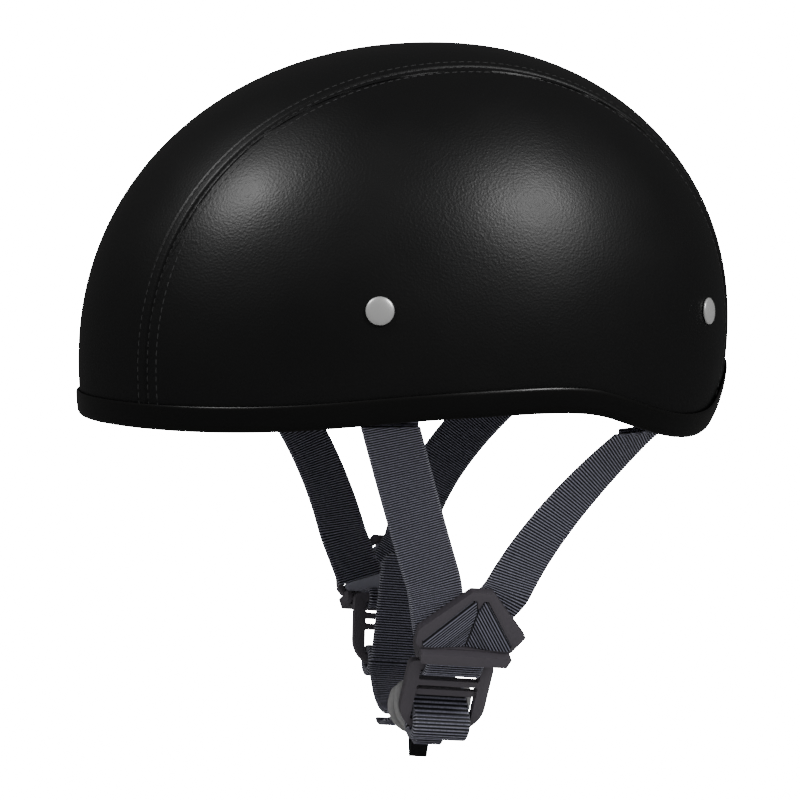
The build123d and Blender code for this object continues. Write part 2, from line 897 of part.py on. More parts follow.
def d_ring(y, w, lean_angle):
    """Wire ring with a straight top and a round bottom, swept round its outline."""
    lean = math.radians(lean_angle)
    plane = Plane(
        origin=low_point(y, w, ring_place_u),
        x_dir=low_along,
        z_dir=low_direction(-math.cos(lean), math.sin(lean)),
    )
    half = (ring_width - ring_wire) / 2
    corner_cut = ring_corner * (1 - math.sqrt(1 / 2))
    with BuildPart() as ring:
        with BuildLine(plane) as outline:
            Line((0, 0), (half - ring_corner, 0))
            ThreePointArc((half - ring_corner, 0), (half - corner_cut, -corner_cut), (half, -ring_corner))
            Line((half, -ring_corner), (half, half - ring_drop))
            ThreePointArc((half, half - ring_drop), (0, -ring_drop), (-half, half - ring_drop))
            Line((-half, half - ring_drop), (-half, -ring_corner))
            ThreePointArc((-half, -ring_corner), (corner_cut - half, -corner_cut), (ring_corner - half, 0))
            Line((ring_corner - half, 0), (0, 0))
        with BuildSketch(Plane(origin=plane.origin, x_dir=plane.z_dir, z_dir=plane.x_dir)):
            Circle(ring_wire / 2)
        sweep(path=outline.wire())
    return ring.part


export_one(d_ring(inner_ring_y, inner_ring_place, inner_ring_lean_angle), "inner_d_ring")
export_one(d_ring(release_ring_y, release_ring_place, release_ring_lean_angle), "release_d_ring")

# Pull tab: a ribbon looped round the bottom of the release ring
release_lean = math.radians(release_ring_lean_angle)
tab_y = release_ring_y - ring_drop * math.sin(release_lean)
tab_w = release_ring_place - ring_drop * math.cos(release_lean) + tab_rise
tab_inner = ring_wire / 2 + tab_play
tab_outer = tab_inner + tab_thickness
with BuildPart() as pull_tab:
    with BuildSketch(side_plane.offset(ring_place_u)):
        with Locations((tab_y, tab_w)):
            Circle(tab_outer)
        with Locations((tab_y + tab_out, tab_w - tab_drop)):
            Circle(tab_thickness)
        make_hull()
        with BuildSketch(mode=Mode.PRIVATE) as tab_hollow:
            with Locations((tab_y, tab_w)):
                Circle(tab_inner)
        add(tab_hollow.sketch, mode=Mode.SUBTRACT)
    extrude(amount=tab_width / 2, both=True)
export_one(pull_tab.part, "pull_tab")

# Chin strap
right_bottom = bottom_bar_place(right_frame_lift, right_frame_inboard)
right_bottom = (-right_bottom[0], right_bottom[1])
turn_middle = (chin_turn_top + chin_turn_bottom) / 2
turn_radius = (chin_turn_top - chin_turn_bottom) / 2
with BuildPart() as chin_strap:
    with BuildSketch(side_plane):
        with BuildLine() as chin_route:
            Spline(*chin_upper_route, (chin_turn_y, chin_turn_top), tangents=[(0, -1), (1, 0)])
            ThreePointArc(
                (chin_turn_y, chin_turn_top),
                (chin_turn_y + turn_radius, turn_middle),
                (chin_turn_y, chin_turn_bottom),
            )
            Spline((chin_turn_y, chin_turn_bottom), *chin_lower_route, tangents=[(-1, 0), (-1, 1)])
        trace(line_width=webbing_thickness)
        with Locations(right_bottom):
            Circle(bottom_bar_radius + loop_bar_thickness)
            Circle(bottom_bar_radius, mode=Mode.SUBTRACT)
    extrude(amount=chin_width / 2, both=True)
    add(
        plan_block((
            (-half_width, chin_width),
            (chin_taper_from, chin_width),
            (chin_taper_to, chin_narrow_width),
            (half_width, chin_narrow_width),
        )),
        mode=Mode.INTERSECT,
    )
export_one(chin_strap.part, "chin_strap")

# Free end of the chin webbing
with BuildPart() as chin_strap_tail:
    tail_plane = Plane(origin=low_point(-tail_y, tail_bottom), x_dir=low_along, z_dir=(0, 1, 0))
    with BuildSketch(tail_plane):
        with Locations((0, -tail_height / 2)):
            Rectangle(chin_width, tail_height)
        fillet(vertices().group_by(Axis.Y)[0], tail_corner)
    extrude(amount=webbing_thickness / 2, both=True)
export_one(chin_strap_tail.part, "chin_strap_tail")

# Joint places, printed in metres
harness_w = (front_exit.Z + rear_exit.Z) / 2 - low_origin.Z
harness_y = (front_exit.Y + rear_exit.Y) / 2
left_top = top_bar_place(0, 0)
right_top = top_bar_place(right_frame_lift, right_frame_inboard)
left_bottom = bottom_bar_place(0, 0)
places = {
    "left harness": (harness_y, harness_w),
    "right harness": (-harness_y, harness_w),
    "left frame": left_top,
    "right frame": (-right_top[0], right_top[1]),
    "ring loop": left_bottom,
    "chin strap": right_bottom,
    "release ring": (release_ring_y, release_ring_place),
    "pull tab": (tab_y, tab_w),
}
for name, (y, w) in places.items():
    point = low_point(y, w)
    print(name, [round(value / 1000, 5) for value in (point.X, point.Y, point.Z)])
left_arm = (left_top[0] - harness_y, left_top[1] - harness_w)
right_arm = (harness_y - right_top[0], right_top[1] - harness_w)
coupler = (left_bottom[0] - right_bottom[0], left_bottom[1] - right_bottom[1])
left_pull = -left_arm[1] * coupler[0] + left_arm[0] * coupler[1]
right_pull = -right_arm[1] * coupler[0] + right_arm[0] * coupler[1]
harness_ratio = left_pull / right_pull
coupler_ratio = (left_arm[0] - harness_ratio * right_arm[0]) / coupler[0]
print("harness ratio", round(harness_ratio, 4), "coupler ratio", round(coupler_ratio, 4))
print("low axis", [round(value, 6) for value in (low_along.X, low_along.Y, low_along.Z)])
print("crown top", round(crown_top, 3), "exits", front_exit, rear_exit)
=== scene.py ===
"""Half shell helmet with its harness of webbing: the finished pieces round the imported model.

Lengths inside the shape functions are millimetres, and a mesh gets them in metres.
"""

import math

import bmesh
import bpy
import numpy as np
from bpy.props import FloatProperty, FloatVectorProperty, PointerProperty
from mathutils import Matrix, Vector


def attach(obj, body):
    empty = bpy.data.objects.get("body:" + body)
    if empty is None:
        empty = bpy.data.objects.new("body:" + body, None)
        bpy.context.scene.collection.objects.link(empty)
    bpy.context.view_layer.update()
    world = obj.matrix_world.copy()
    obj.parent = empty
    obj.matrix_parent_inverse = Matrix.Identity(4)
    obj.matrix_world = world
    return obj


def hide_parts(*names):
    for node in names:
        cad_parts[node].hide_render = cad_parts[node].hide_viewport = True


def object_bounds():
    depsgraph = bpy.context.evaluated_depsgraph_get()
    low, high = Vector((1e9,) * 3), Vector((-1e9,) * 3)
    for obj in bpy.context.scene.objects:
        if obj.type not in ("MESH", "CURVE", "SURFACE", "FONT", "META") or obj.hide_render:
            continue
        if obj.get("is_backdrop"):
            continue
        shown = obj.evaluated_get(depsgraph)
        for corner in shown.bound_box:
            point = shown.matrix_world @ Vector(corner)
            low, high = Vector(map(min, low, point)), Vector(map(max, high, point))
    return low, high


bl_info = {
    "name": "Half shell helmet",
    "version": (1, 0, 0),
    "blender": (4, 5, 0),
    "location": "View3D > Sidebar > Helmet",
    "description": "Builds the leather, trim, pads, webbing and hardware of a half shell helmet",
    "category": "Object",
}

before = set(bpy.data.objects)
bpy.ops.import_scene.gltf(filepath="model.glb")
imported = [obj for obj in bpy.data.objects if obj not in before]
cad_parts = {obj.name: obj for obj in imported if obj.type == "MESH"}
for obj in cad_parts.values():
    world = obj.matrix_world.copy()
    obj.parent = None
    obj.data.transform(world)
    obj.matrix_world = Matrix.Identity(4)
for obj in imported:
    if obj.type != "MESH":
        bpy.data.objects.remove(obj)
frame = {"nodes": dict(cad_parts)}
MM = 0.001
ROUND = 2 * math.pi


def unit(ways):
    """Directions of length one: each is divided by its own length."""
    return ways / np.linalg.norm(ways, axis=-1, keepdims=True)


def arc_of(line):
    """Arc length at each point of a line: the sum of the steps before it."""
    return np.concatenate(([0], np.cumsum(np.linalg.norm(np.diff(line, axis=0), axis=1))))


# Sizes and colours -----------------------------------------------------------------------------

def length(name, description, default):
    """A length in metres that the sidebar shows."""
    return FloatProperty(
        name=name, description=description, default=default, min=0, unit="LENGTH", precision=5,
    )


def tint(name, description, default):
    """A colour that the sidebar shows."""
    return FloatVectorProperty(
        name=name, description=description, default=default, min=0, max=1, subtype="COLOR",
    )


class HelmetSizes(bpy.types.PropertyGroup):
    """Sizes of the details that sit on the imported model."""

    stitch_offset: length("Stitch row offset", "From the seam to each row of topstitching", 0.0040)
    stitch_pitch: length("Stitch pitch", "From one stitch to the next", 0.0034)
    stitch_long: length("Stitch length", "Thread that shows of one stitch", 0.0023)
    thread: length("Thread", "Thickness of the thread", 0.0005)
    seam_swell: length("Seam swell", "How far the turned edges stand up beside the seam", 0.00022)
    rib_pitch: length("Rib pitch", "From one rib of the webbing to the next", 0.00115)
    rib_height: length("Rib height", "How far a rib stands up", 0.00017)
    plastic_edge: length("Plastic edge", "Radius on the edges of the moulded pieces", 0.0004)
    pad_swell: length("Pad swell", "How far the pads may puff up", 0.0022)


class HelmetColours(bpy.types.PropertyGroup):
    """Colours of the finishes."""

    leather: tint("Leather", "Covering of the shell", (0.0045, 0.0045, 0.0048))
    thread: tint("Thread", "Topstitching", (0.030, 0.030, 0.031))
    trim: tint("Trim", "Rubber edge trim", (0.0035, 0.0035, 0.0035))
    webbing: tint("Webbing", "Harness and chin webbing", (0.105, 0.105, 0.140))
    pick: tint("Edge picks", "Light yarn at the webbing's edges", (0.34, 0.34, 0.40))
    plastic: tint("Plastic", "Yokes and ladder frames", (0.072, 0.065, 0.076))
    steel: tint("Rings", "Plated wire of the D rings", (0.72, 0.72, 0.72))
    rivet: tint("Rivets", "Domed rivet heads", (0.84, 0.84, 0.83))
    ribbon: tint("Ribbon", "Pull tab", (0.006, 0.006, 0.007))
    lining: tint("Lining", "Cloth inside the liner", (0.020, 0.020, 0.023))
    pads: tint("Pads", "Cloth of the comfort pads", (0.028, 0.028, 0.033))
    foam: tint("Foam", "Expanded foam of the liner", (0.020, 0.020, 0.020))
    floor: tint("Floor", "Floor under the helmet", (0.90, 0.90, 0.90))


def sizes():
    """The sidebar's sizes."""
    return bpy.context.scene.helmet_sizes


def colours():
    """The sidebar's colours."""
    return bpy.context.scene.helmet_colours


# Form of the layers, in millimetres ------------------------------------------------------------

CROWN = 31.6
FRONT, REAR, SIDE = (151.8, 134.4, 2.103), (128.2, 116.6, 2.074), (112.0, 128.0, 2.15)
RIM_DEPTH = 154.5
RIM = np.array((
    (1.10, 1.000), (0.77, 1.000), (0.52, 0.986), (0.31, 0.967), (0.02, 0.953), (-0.14, 0.954),
    (-0.23, 0.966), (-0.32, 0.993), (-0.44, 1.031), (-0.53, 1.050), (-0.62, 1.054), (-0.69, 1.034),
    (-0.74, 0.990), (-0.79, 0.950), (-0.87, 0.934), (-1.00, 0.932),
)) * (FRONT[0], RIM_DEPTH)
FOAM_RISE = 8.4
SEAM = 52.0
SEAM_GAP = 0.4
HEM = 1.5
LEATHER = 1.2


def reach(form, depth, inset):
    """Reach of a layer at a depth: full reach less inset, times one quarter of a superellipse."""
    full, form_depth, power = form
    share = np.clip(np.abs((depth - form_depth) / (form_depth - inset)), 0, 1)
    return (full - inset) * (1 - share ** power) ** (1 / power)


def layer_point(angle, depth, inset):
    """Point of a layer: half ellipses in front and behind, of the reaches at that depth."""
    along = np.where(np.cos(angle) > 0, reach(FRONT, depth, inset), reach(REAR, depth, inset))
    points = (along * np.cos(angle), reach(SIDE, depth, inset) * np.sin(angle), CROWN - depth + 0 * angle)
    return np.stack(np.broadcast_arrays(*points), axis=-1)


def cubic(knots, values, at, ends=None):
    """Cubic through the values at rising knots: slopes from the usual three-term equations."""
    step = np.diff(knots)
    rise = np.diff(values, axis=0) / step.reshape(-1, *[1] * (values.ndim - 1))
    count = len(knots)
    system = np.zeros((count, count))
    right = np.zeros(values.shape)
    rows = np.arange(1, count - 1)
    system[rows, rows - 1] = step[1:]
    system[rows, rows] = 2 * (step[:-1] + step[1:])
    system[rows, rows + 1] = step[:-1]
    column = [-1] + [1] * (values.ndim - 1)
    right[1:-1] = 3 * (step[1:].reshape(column) * rise[:-1] + step[:-1].reshape(column) * rise[1:])
    system[0, :2] = (1, 0) if ends is not None else (2, 1)
    system[-1, -2:] = (0, 1) if ends is not None else (1, 2)
    right[0] = ends[0] if ends is not None else 3 * rise[0]
    right[-1] = ends[1] if ends is not None else 3 * rise[-1]
    slope = np.linalg.solve(system, right.reshape(count, -1)).reshape(values.shape)
    place = np.clip(np.searchsorted(knots, at) - 1, 0, count - 2)
    share = (at - knots[place]) / step[place]
    gap = step[place]
    if values.ndim > 1:
        share, gap = share[..., None], gap[..., None]
    low, high = values[place], values[place + 1]
    return (
        (1 + 2 * share) * (1 - share) ** 2 * low
        + share * (1 - share) ** 2 * gap * slope[place]
        + share ** 2 * (3 - 2 * share) * high
        + share ** 2 * (share - 1) * gap * slope[place + 1]
    )


def rim_depth(x):
    """Depth of the rim line at a place along X."""
    return cubic(RIM[::-1, 0], RIM[::-1, 1], np.asarray(x, float))


def rim_point(angle, inset, lift):
    """Point of a layer at a height above the rim line, found by repeated substitution."""
    depth = np.full(np.broadcast(angle, inset, lift).shape, RIM_DEPTH) - lift
    for _ in range(8):
        depth = rim_depth(layer_point(angle, depth, inset)[..., 0]) - lift
    return layer_point(angle, depth, inset)


def outward(x, depth):
    """Outward normal of the leather on the left side, from the slopes of its implicit form."""
    y = reach(SIDE, depth, 0) * math.sqrt(1 - (x / reach(FRONT if x > 0 else REAR, depth, 0)) ** 2)

    def form(px, py, pd):
        along = reach(FRONT if px > 0 else REAR, pd, 0)
        return (px / along) ** 2 + (py / reach(SIDE, pd, 0)) ** 2

    step = 0.05
    slope = np.array((
        form(x + step, y, depth) - form(x - step, y, depth),
        form(x, y + step, depth) - form(x, y - step, depth),
        form(x, y, depth - step) - form(x, y, depth + step),
    ))
    return np.array((x, y, CROWN - depth)), unit(slope)


# Form of the low unit: yokes, ladder frames, rings ---------------------------------------------

TILT = math.radians(7)
ALONG = np.array((math.cos(TILT), 0, math.sin(TILT)))
LEFT = np.array((0.0, 1.0, 0.0))
UP = np.array((-math.sin(TILT), 0, math.cos(TILT)))
LOW = np.array((5.0, 0, CROWN - 250))
WEBBING, THICK, CHIN = 22.5, 1.6, 25.0
STRAP_DRIFT, DRIFT_POWER, LOFT_DEPTH = 5.4, 4, 178.0
STRAP_INSET = 6.2
FRONT_EXIT, REAR_EXIT, HINGE_GAP = (48.0, 151.0), (-63.0, 158.0), 1.6
YOKE_Y, YOKE_W, YOKE_LEAN = 59.4, 0.3, math.radians(27.5)
YOKE_HALF, YOKE_HIGH, YOKE_WALL = 22.4, 29.6, 3.6
REAR_BAR_DROP, REAR_BAR_IN, REAR_BAR = 2.5, 7.4, 3.0
FRAME_Y, FRAME_W, FRAME_LEAN = 45.1, -6.7, math.radians(16.8)
FRAME_HIGH, FRAME_WALL, TOP_BAR, BOTTOM_BAR = 32.5, 3.6, 4.0, 5.0
RIGHT_LIFT, RIGHT_IN = 11.5, 1.5
WIRE, RING_WIDE, RING_DROP, RING_CORNER, RING_U = 4.0, 34.5, 21.2, 3.5, -0.5
RING_A, RING_B = (25.0, -21.5, 0.0), (20.2, -24.4, math.radians(21.3))
TOP_RADIUS = math.hypot(TOP_BAR, FRAME_WALL) / 2 + 0.5
BOTTOM_RADIUS = math.hypot(BOTTOM_BAR, FRAME_WALL) / 2 + 0.5


def low_point(y, w, u=0.0):
    """Points of the low unit from their places to the left, up and along."""
    y, w, u = np.broadcast_arrays(np.asarray(y, float), w, u)
    return LOW + y[..., None] * LEFT + w[..., None] * UP + u[..., None] * ALONG


def leaning(y, w, lean, u=0.0):
    """Axes of a plate that leans in at the bottom: origin, along, up and inboard."""
    up = math.sin(lean) * LEFT + math.cos(lean) * UP
    inboard = -math.cos(lean) * LEFT + math.sin(lean) * UP
    return low_point(y, w, u), ALONG, up, inboard


def bar_place(drop, right=False):
    """Left and up places of a ladder frame's bar, by its drop along the leaning frame."""
    lift, inward = (RIGHT_LIFT, RIGHT_IN) if right else (0, 0)
    return FRAME_Y - inward - drop * math.sin(FRAME_LEAN), FRAME_W + lift - drop * math.cos(FRAME_LEAN)


# Meshes ----------------------------------------------------------------------------------------

def surface(name, grids, mirrored=False):
    """Object from grids of points: each is rows by columns by three, with its own map or none.

    Neighbouring points make four-sided faces, and points in the same place are merged, which closes
    seams, poles and ends.
    """
    corners, faces, maps = [], [], []
    start = 0
    for points, places in grids:
        rows, columns = points.shape[:2]
        index = start + np.arange(rows * columns).reshape(rows, columns)
        quads = np.stack((index[:-1, :-1], index[:-1, 1:], index[1:, 1:], index[1:, :-1]), axis=-1)
        corners.append(points.reshape(-1, 3))
        faces.append(quads.reshape(-1, 4))
        maps.append(np.zeros((rows * columns, 2)) if places is None else places.reshape(-1, 2))
        start += rows * columns
    corners, faces, maps = np.concatenate(corners), np.concatenate(faces), np.concatenate(maps)
    if mirrored:
        corners = corners * (1, -1, 1)
    mesh = bpy.data.meshes.new(name)
    mesh.from_pydata((corners * MM).tolist(), [], faces.tolist())
    layer = mesh.uv_layers.new(name="strip")
    layer.data.foreach_set("uv", maps[faces.ravel()].astype(np.float32).ravel())
    work = bmesh.new()
    work.from_mesh(mesh)
    bmesh.ops.remove_doubles(work, verts=work.verts, dist=2e-6)
    bmesh.ops.dissolve_degenerate(work, edges=work.edges, dist=1e-7)
    bmesh.ops.recalc_face_normals(work, faces=work.faces)
    work.to_mesh(mesh)
    work.free()
    piece = bpy.data.objects.new(name, mesh)
    bpy.context.scene.collection.objects.link(piece)
    soften(piece)
    return piece


def soften(piece, angle=40):
    """Smooth shading with sharp edges where faces meet at more than an angle."""
    piece.data.polygons.foreach_set("use_smooth", np.ones(len(piece.data.polygons), bool))
    piece.data.set_sharp_from_angle(angle=math.radians(angle))


def dress(piece, material, slot, body, *nodes):
    """Gives a piece its finish, puts it on its body and lets it stand for CAD nodes. The slot is not used."""
    piece.data.materials.clear()
    piece.data.materials.append(material)
    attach(piece, body)
    if nodes:
        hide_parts(*nodes)
    return piece


def bake(piece, modifier):
    """Applies one modifier."""
    for other in bpy.context.selected_objects:
        other.select_set(False)
    bpy.context.view_layer.objects.active = piece
    piece.select_set(True)
    bpy.ops.object.modifier_apply(modifier=modifier.name)


def copy_of(node, name):
    """Merged copy of a CAD node's mesh as a new object."""
    mesh = frame["nodes"][node].data.copy()
    mesh.materials.clear()
    work = bmesh.new()
    work.from_mesh(mesh)
    bmesh.ops.remove_doubles(work, verts=work.verts, dist=1e-5)
    work.to_mesh(mesh)
    work.free()
    mesh.name = name
    piece = bpy.data.objects.new(name, mesh)
    bpy.context.scene.collection.objects.link(piece)
    return piece


def resample(line, spacing):
    """Points at equal steps along a line of points."""
    arc = arc_of(line)
    count = max(int(round(arc[-1] / spacing)), 4)
    steps = np.linspace(0, arc[-1], count + 1)
    return np.stack([np.interp(steps, arc, line[:, axis]) for axis in range(line.shape[1])], axis=-1)


SECTION = np.array(
    [(a, 1) for a in (-0.955, -0.9, -0.5, 0, 0.5, 0.9, 0.955)] + [(1, 0.45), (1, -0.45)]
    + [(a, -1) for a in (0.955, 0.9, 0.5, 0, -0.5, -0.9, -0.955)] + [(-1, -0.45), (-1, 0.45), (-0.955, 1)]
)


def ribbon(centre, across, out, closed=False):
    """Woven strip along a line: a flat section with soft edges, its faces raised and lowered by ribs.

    Across and out are half the width and half the thickness as vectors. The rib height is a cosine of
    the length along the strip. The map holds the rib number and the place across.
    """
    ribs = arc_of(centre) / (sizes().rib_pitch / MM)
    if closed:
        ribs = ribs * max(round(ribs[-1]), 1) / ribs[-1]
    thick = np.linalg.norm(out, axis=1)
    height = sizes().rib_height / MM * np.cos(ROUND * ribs) / thick
    a, b = SECTION[:, 0], SECTION[:, 1]
    face = np.where(np.abs(b) > 0.9, 1, 0.4)
    lift = b * (1 + height[:, None] * face)
    points = centre[:, None] + a[:, None] * across[:, None] + lift[..., None] * out[:, None]
    places = np.stack(np.broadcast_arrays(ribs[:, None], 0.5 + a / 2), axis=-1)
    if closed:
        points[-1] = points[0]
    else:
        ends = np.repeat(centre[[0, -1]][:, None], len(a), axis=1)
        points = np.concatenate((ends[:1], points, ends[1:]))
        places = np.concatenate((places[:1], places, places[-1:]))
    return points, places


def row_step():
    """Spacing of a strip's rows: five to a rib."""
    return sizes().rib_pitch / MM / 5


def hull(circles, directions):
    """Outline round circles: for each direction, the furthest point of any of them."""
    ways = np.stack((np.cos(directions), np.sin(directions)), axis=-1)
    centres = np.array([(y, w) for y, w, _ in circles])
    radii = np.array([radius for _, _, radius in circles])
    furthest = np.argmax(ways @ centres.T + radii, axis=1)
    return centres[furthest] + radii[furthest][:, None] * ways


def loop_strip(inner, outer, half_width, u=0.0):
    """Closed strip between two outlines round the same bars, with a width for each place."""
    directions = np.linspace(0, ROUND, 1441)
    pair = np.concatenate((hull(inner, directions), hull(outer, directions)), axis=1)
    pair = resample(pair, row_step() * 1.4)
    middle = (pair[:, :2] + pair[:, 2:]) / 2
    thick = (pair[:, 2:] - pair[:, :2]) / 2
    half = half_width(middle) if callable(half_width) else np.full(len(middle), half_width)
    return ribbon(
        low_point(middle[:, 0], middle[:, 1], u),
        half[:, None] * ALONG,
        thick[:, :1] * LEFT + thick[:, 1:] * UP,
        closed=True,
    )


def flat_route(route, half, thick=THICK):
    """Open strip in the plane across the helmet, along a route of left and up places."""
    way = unit(np.gradient(route, axis=0))
    out = (-way[:, 1:] * LEFT + way[:, :1] * UP) * thick / 2
    return ribbon(low_point(route[:, 0], route[:, 1]), half[:, None] * ALONG, out)


def curve_through(points, start, end):
    """Smooth line through points, with given directions at its ends, by the cubic above."""
    points = np.array(points, float)
    knots = arc_of(points)
    ends = [unit(np.array(way, float)) for way in (start, end)]
    return cubic(knots, points, np.linspace(0, knots[-1], 240), ends)


# Finishes --------------------------------------------------------------------------------------

def group(name, inputs, outputs):
    """New shader node group with named inputs and outputs."""
    tree = bpy.data.node_groups.new(name, "ShaderNodeTree")
    for title, kind, default in inputs:
        socket = tree.interface.new_socket(title, in_out="INPUT", socket_type=kind)
        if default is not None:
            socket.default_value = default
    for title, kind in outputs:
        tree.interface.new_socket(title, in_out="OUTPUT", socket_type=kind)
    return tree, tree.nodes.new("NodeGroupInput"), tree.nodes.new("NodeGroupOutput")


def node(tree, kind, links=(), **values):
    """Node in a tree: values set its properties or sockets, links feed inputs from sockets or numbers."""
    made = tree.nodes.new(kind)
    for key, value in values.items():
        if hasattr(made, key):
            setattr(made, key, value)
        else:
            made.inputs[key.replace("_", " ")].default_value = value
    for key, source in dict(links).items():
        if isinstance(source, bpy.types.NodeSocket):
            tree.links.new(source, made.inputs[key])
        else:
            made.inputs[key].default_value = source
    return made


def maths(tree, operation, first, second=0.0):
    """Result of an operation on one or two sockets or numbers."""
    return node(tree, "ShaderNodeMath", {0: first, 1: second}, operation=operation).outputs[0]


def ranged(tree, value, **values):
    """A value carried from one range to another."""
    return node(tree, "ShaderNodeMapRange", {"Value": value}, **values).outputs[0]


def blended(tree, share, low, high):
    """Colour between two others."""
    return node(tree, "ShaderNodeMix", {0: share, 6: low, 7: high}, data_type="RGBA").outputs[2]


def grain_group():
    """Grain of leather and moulded plastic: small cells for the height, slow clouds for the wear."""
    tree, given, result = group(
        "grain",
        [("Cell Scale", "NodeSocketFloat", 900.0), ("Cloud Scale", "NodeSocketFloat", 25.0)],
        [("Height", "NodeSocketFloat"), ("Clouds", "NodeSocketFloat")],
    )
    place = node(tree, "ShaderNodeTexCoord").outputs["Object"]
    fed = {"Vector": place, "Scale": given.outputs["Cell Scale"]}
    cells = node(tree, "ShaderNodeTexVoronoi", fed, feature="SMOOTH_F1")
    fine = node(tree, "ShaderNodeTexNoise", fed, Detail=3.0)
    slow = {"Vector": place, "Scale": given.outputs["Cloud Scale"]}
    clouds = node(tree, "ShaderNodeTexNoise", slow, Detail=2.0)
    height = maths(tree, "MULTIPLY", cells.outputs["Distance"], fine.outputs["Fac"])
    tree.links.new(height, result.inputs["Height"])
    tree.links.new(clouds.outputs["Fac"], result.inputs["Clouds"])
    return tree


def weave_with_painted_rib_light_group():
    """Weave of a strip: ribs from the map's rib number, with painted light on the rib tops and painted shade
    in the valleys between them, yarn flecks, and light picks at the edges.
    """
    tree, given, result = group(
        "weave_with_painted_rib_light",
        [(name, "NodeSocketColor", None) for name in ("Yarn", "Valley", "Picks")],
        [("Color", "NodeSocketColor"), ("Height", "NodeSocketFloat")],
    )
    strip = node(tree, "ShaderNodeUVMap", uv_map="strip").outputs["UV"]
    parts = node(tree, "ShaderNodeSeparateXYZ", {0: strip}).outputs
    wave = maths(tree, "COSINE", maths(tree, "MULTIPLY", parts["X"], ROUND))
    rib = ranged(tree, wave, From_Min=-0.3, From_Max=0.95)
    drawn = node(tree, "ShaderNodeMapping", {"Vector": strip}, Scale=(1.0, 34.0, 1.0)).outputs["Vector"]
    flecks = node(tree, "ShaderNodeTexNoise", {"Vector": drawn}, Scale=1.6, Detail=2.0)
    mottle = ranged(tree, flecks.outputs["Fac"], From_Min=0.3, From_Max=0.7, To_Min=0.35)
    height = maths(tree, "MULTIPLY", rib, mottle)
    # Painted shade in the rib valleys and painted highlight on the rib tops, broken up by the yarn flecks.
    body = blended(tree, height, given.outputs["Valley"], given.outputs["Yarn"])
    far = maths(tree, "ABSOLUTE", maths(tree, "SUBTRACT", parts["Y"], 0.5))
    edge = ranged(tree, far, From_Min=0.440, From_Max=0.462, interpolation_type="SMOOTHSTEP")
    bright = ranged(tree, wave, From_Min=0.45, From_Max=0.95)
    dots = maths(tree, "MULTIPLY", maths(tree, "MULTIPLY", edge, bright), mottle)
    tree.links.new(blended(tree, dots, body, given.outputs["Picks"]), result.inputs["Color"])
    tree.links.new(height, result.inputs["Height"])
    return tree


def knit_with_painted_shade_group():
    """Knitted cloth: a fine check of three crossed waves for the height, and painted shade where the check is
    low.
    """
    tree, given, result = group(
        "knit_with_painted_shade",
        [("Cloth", "NodeSocketColor", None), ("Wale Scale", "NodeSocketFloat", 700.0)],
        [("Color", "NodeSocketColor"), ("Height", "NodeSocketFloat")],
    )
    place = node(tree, "ShaderNodeTexCoord").outputs["Object"]
    fed = {"Vector": place, "Scale": given.outputs["Wale Scale"]}
    waves = [node(tree, "ShaderNodeTexWave", fed, bands_direction=way).outputs["Fac"] for way in "XYZ"]
    check = maths(tree, "MAXIMUM", maths(tree, "MAXIMUM", waves[0], waves[1]), waves[2])
    # Painted shade: the cloth is darker where the check is low.
    shade = ranged(tree, check, To_Min=0.6)
    tone = node(tree, "ShaderNodeVectorMath", {0: given.outputs["Cloth"], "Scale": shade}, operation="SCALE")
    tree.links.new(tone.outputs[0], result.inputs["Color"])
    tree.links.new(check, result.inputs["Height"])
    return tree


def shared(name):
    """One of the shared groups, made the first time that it is wanted."""
    makers = {"grain": grain_group, "weave_with_painted_rib_light": weave_with_painted_rib_light_group, "knit_with_painted_shade": knit_with_painted_shade_group}
    return bpy.data.node_groups.get(name) or makers[name]()


def finish(name, colour, roughness, metallic=0.0, **sockets):
    """Material with plain sockets, its tree, its shader, and whether it is new."""
    name = "finish_" + name
    found = bpy.data.materials.get(name)
    if found:
        return found, found.node_tree, found.node_tree.nodes["Principled BSDF"], False
    material = bpy.data.materials.new(name)
    material.use_nodes = True
    tree = material.node_tree
    shader = tree.nodes["Principled BSDF"]
    shader.inputs["Base Color"].default_value = (*colour, 1)
    shader.inputs["Roughness"].default_value = roughness
    shader.inputs["Metallic"].default_value = metallic
    for key, value in sockets.items():
        shader.inputs[key.replace("_", " ")].default_value = value
    return material, tree, shader, True


def placed(tree, name, **values):
    """A shared group placed in a material, with its own values."""
    return node(tree, "ShaderNodeGroup", node_tree=shared(name), **values)


def bumped(tree, shader, height, strength, distance):
    """Feeds a height to the shader's normal."""
    bump = node(tree, "ShaderNodeBump", {"Height": height}, Strength=strength, Distance=distance)
    tree.links.new(bump.outputs["Normal"], shader.inputs["Normal"])


def grained(name, colour, low, high, cell, strength, distance, **sockets):
    """Material with grain, whose roughness goes from low to high with slow clouds."""
    material, tree, shader, new = finish(name, colour, (low + high) / 2, **sockets)
    if new:
        grain = placed(tree, "grain", Cell_Scale=cell)
        bumped(tree, shader, grain.outputs["Height"], strength, distance)
        wear = ranged(
            tree, grain.outputs["Clouds"], From_Min=0.3, From_Max=0.7, To_Min=low, To_Max=high,
        )
        tree.links.new(wear, shader.inputs["Roughness"])
    return material


def leather_finish():
    """Black full grain leather."""
    return grained("black_leather", colours().leather, 0.36, 0.44, 1100.0, 0.35, 0.0003)


def trim_finish():
    """Smooth rubber with a little gloss."""
    return grained(
        "trim_rubber", colours().trim, 0.26, 0.34, 1500.0, 0.08, 0.0002, Specular_IOR_Level=0.45,
    )


def plastic_finish():
    """Moulded charcoal plastic."""
    return grained("buckle_plastic", colours().plastic, 0.36, 0.48, 1800.0, 0.12, 0.0002)


def plain_finish(name, colour, roughness, metallic=0.0, **sockets):
    """Material with no pattern."""
    return finish(name, colour, roughness, metallic, **sockets)[0]


# Rib tops are painted lighter and rib valleys darker than the webbing's tone: painted light and painted
# shade.
RIB_TOP_PAINTED_LIGHT, VALLEY_PAINTED_SHADE = 2.4, 0.06


